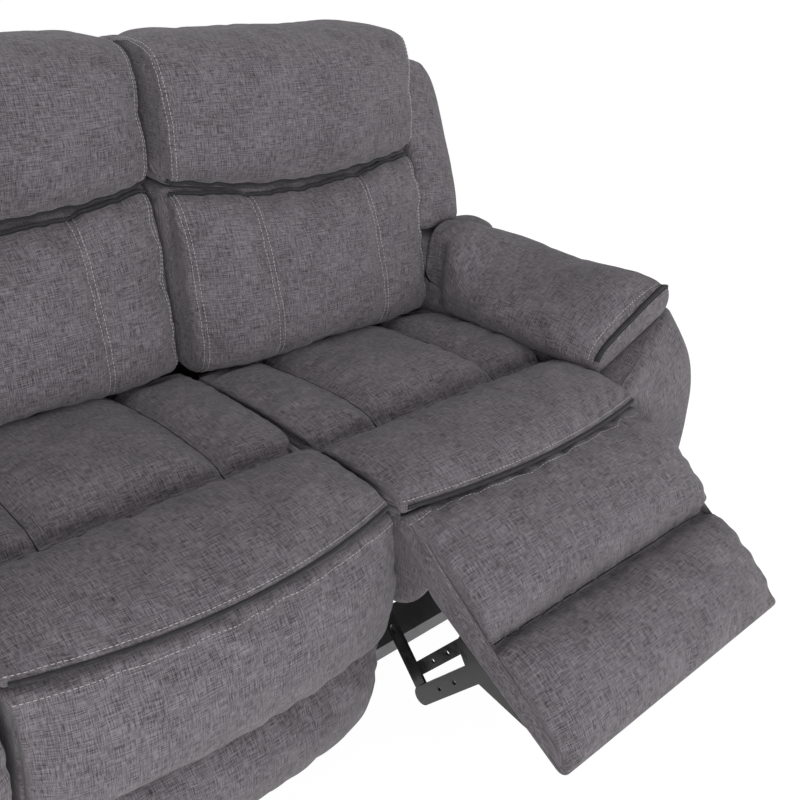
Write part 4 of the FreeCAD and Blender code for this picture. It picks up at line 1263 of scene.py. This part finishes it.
def buildRearLip(rise=0.026, depth=0.004):
    # The valance's upper edge, turned up behind the three backs to close the slit below them.
    low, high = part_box("rear_valance")
    bm = bmesh.new()
    bmesh.ops.create_cube(bm, size=1.0)
    span = (high[0] - low[0], depth, rise + 0.03)
    middle = (0.5 * (low[0] + high[0]), low[1] - 0.5 * depth, high[2] + 0.5 * (rise - 0.03))
    for vert in bm.verts:
        vert.co = Vector([m + c * s for m, c, s in zip(middle, vert.co, span)])
    layer = bm.loops.layers.uv.new("cloth")
    for face in bm.faces:
        for loop in face.loops:
            loop[layer].uv = (loop.vert.co.x, loop.vert.co.z + loop.vert.co.y)
    mesh = bpy.data.meshes.new("rearLip")
    bm.to_mesh(mesh)
    bm.free()
    mesh.materials.append(fabric)
    dress(linked("rearLip", mesh), "base")


buildRearLip()

# Studio: pale floor, soft lamps, the photograph's camera
studio = {"floor": 40.0, "key": 105.0, "fill": 38.0, "top": 24.0, "rear": 30.0, "ambient": 0.30}


def cameraOnly(tree, shader, share, strength=1.0):
    # Shows plain white to the camera and to gloss, and the shader's own light to everything else.
    path = tree.nodes.new("ShaderNodeLightPath")
    glow = tree.nodes.new("ShaderNodeEmission")
    glow.inputs["Color"].default_value = (1, 1, 1, 1)
    glow.inputs["Strength"].default_value = strength
    mix = tree.nodes.new("ShaderNodeMixShader")
    seen = math2(tree, "MAXIMUM", path.outputs["Is Camera Ray"], path.outputs["Is Glossy Ray"])
    seen = math2(tree, "MAXIMUM", seen, path.outputs["Is Transmission Ray"])
    tree.links.new(math2(tree, "MULTIPLY", seen, share), mix.inputs[0])
    tree.links.new(shader, mix.inputs[1])
    tree.links.new(glow.outputs[0], mix.inputs[2])
    return mix.outputs[0]


def buildStudio():
    mesh = bpy.data.meshes.new("studioFloor")
    r = studio["floor"]
    mesh.from_pydata([(-r, -r, 0), (r, -r, 0), (r, r, 0), (-r, r, 0)], [], [(0, 1, 2, 3)])
    floor = linked("studioFloor", mesh)
    made, tree, shader = principled("paleFloor")
    shader.inputs["Base Color"].default_value = (0.86, 0.86, 0.86, 1)
    shader.inputs["Roughness"].default_value = 0.9
    out = tree.nodes["Material Output"]
    tree.links.new(cameraOnly(tree, shader.outputs[0], 0.82, 1.16), out.inputs["Surface"])
    mesh.materials.append(made)
    world = bpy.data.worlds.new("studio")
    world.use_nodes = True
    scene.world = world
    tree = world.node_tree
    back = tree.nodes["Background"]
    back.inputs["Color"].default_value = (1, 1, 1, 1)
    back.inputs["Strength"].default_value = studio["ambient"]
    tree.links.new(cameraOnly(tree, back.outputs[0], 1.0), tree.nodes["World Output"].inputs["Surface"])
    aim = Vector((0.3, 0.1 + depthOrigin, 0.5))
    for name, place, size, power in (("key", (-2.0, -3.6, 1.05), 2.0, studio["key"]),
                                     ("fill", (3.0, -3.0, 0.95), 2.0, studio["fill"]),
                                     ("top", (0.2, 0.4, 3.6), 3.0, studio["top"]),
                                     ("rear", (0.5, 4.2, 1.4), 2.0, studio["rear"])):
        lamp = bpy.data.lights.new(name, "AREA")
        lamp.size = size
        lamp.energy = power
        made = linked(name, lamp)
        made.location = place
        made.rotation_mode = "QUATERNION"
        made.rotation_quaternion = (aim - Vector(place)).to_track_quat("-Z", "Y")


def buildCamera():
    view = {"place": (-0.50700, -0.81559 + depthOrigin, 1.20230), "turn": (62.9094, -2.6561, -42.6860),
            "lens": 43.85}
    data = bpy.data.cameras.new("photoCamera")
    data.lens = view["lens"]
    data.sensor_width = 36.0
    data.clip_start = 0.02
    made = linked("photoCamera", data)
    made.location = view["place"]
    made.rotation_euler = [math.radians(a) for a in view["turn"]]
    scene.camera = made


buildStudio()
buildCamera()
scene.view_settings.view_transform = "Standard"
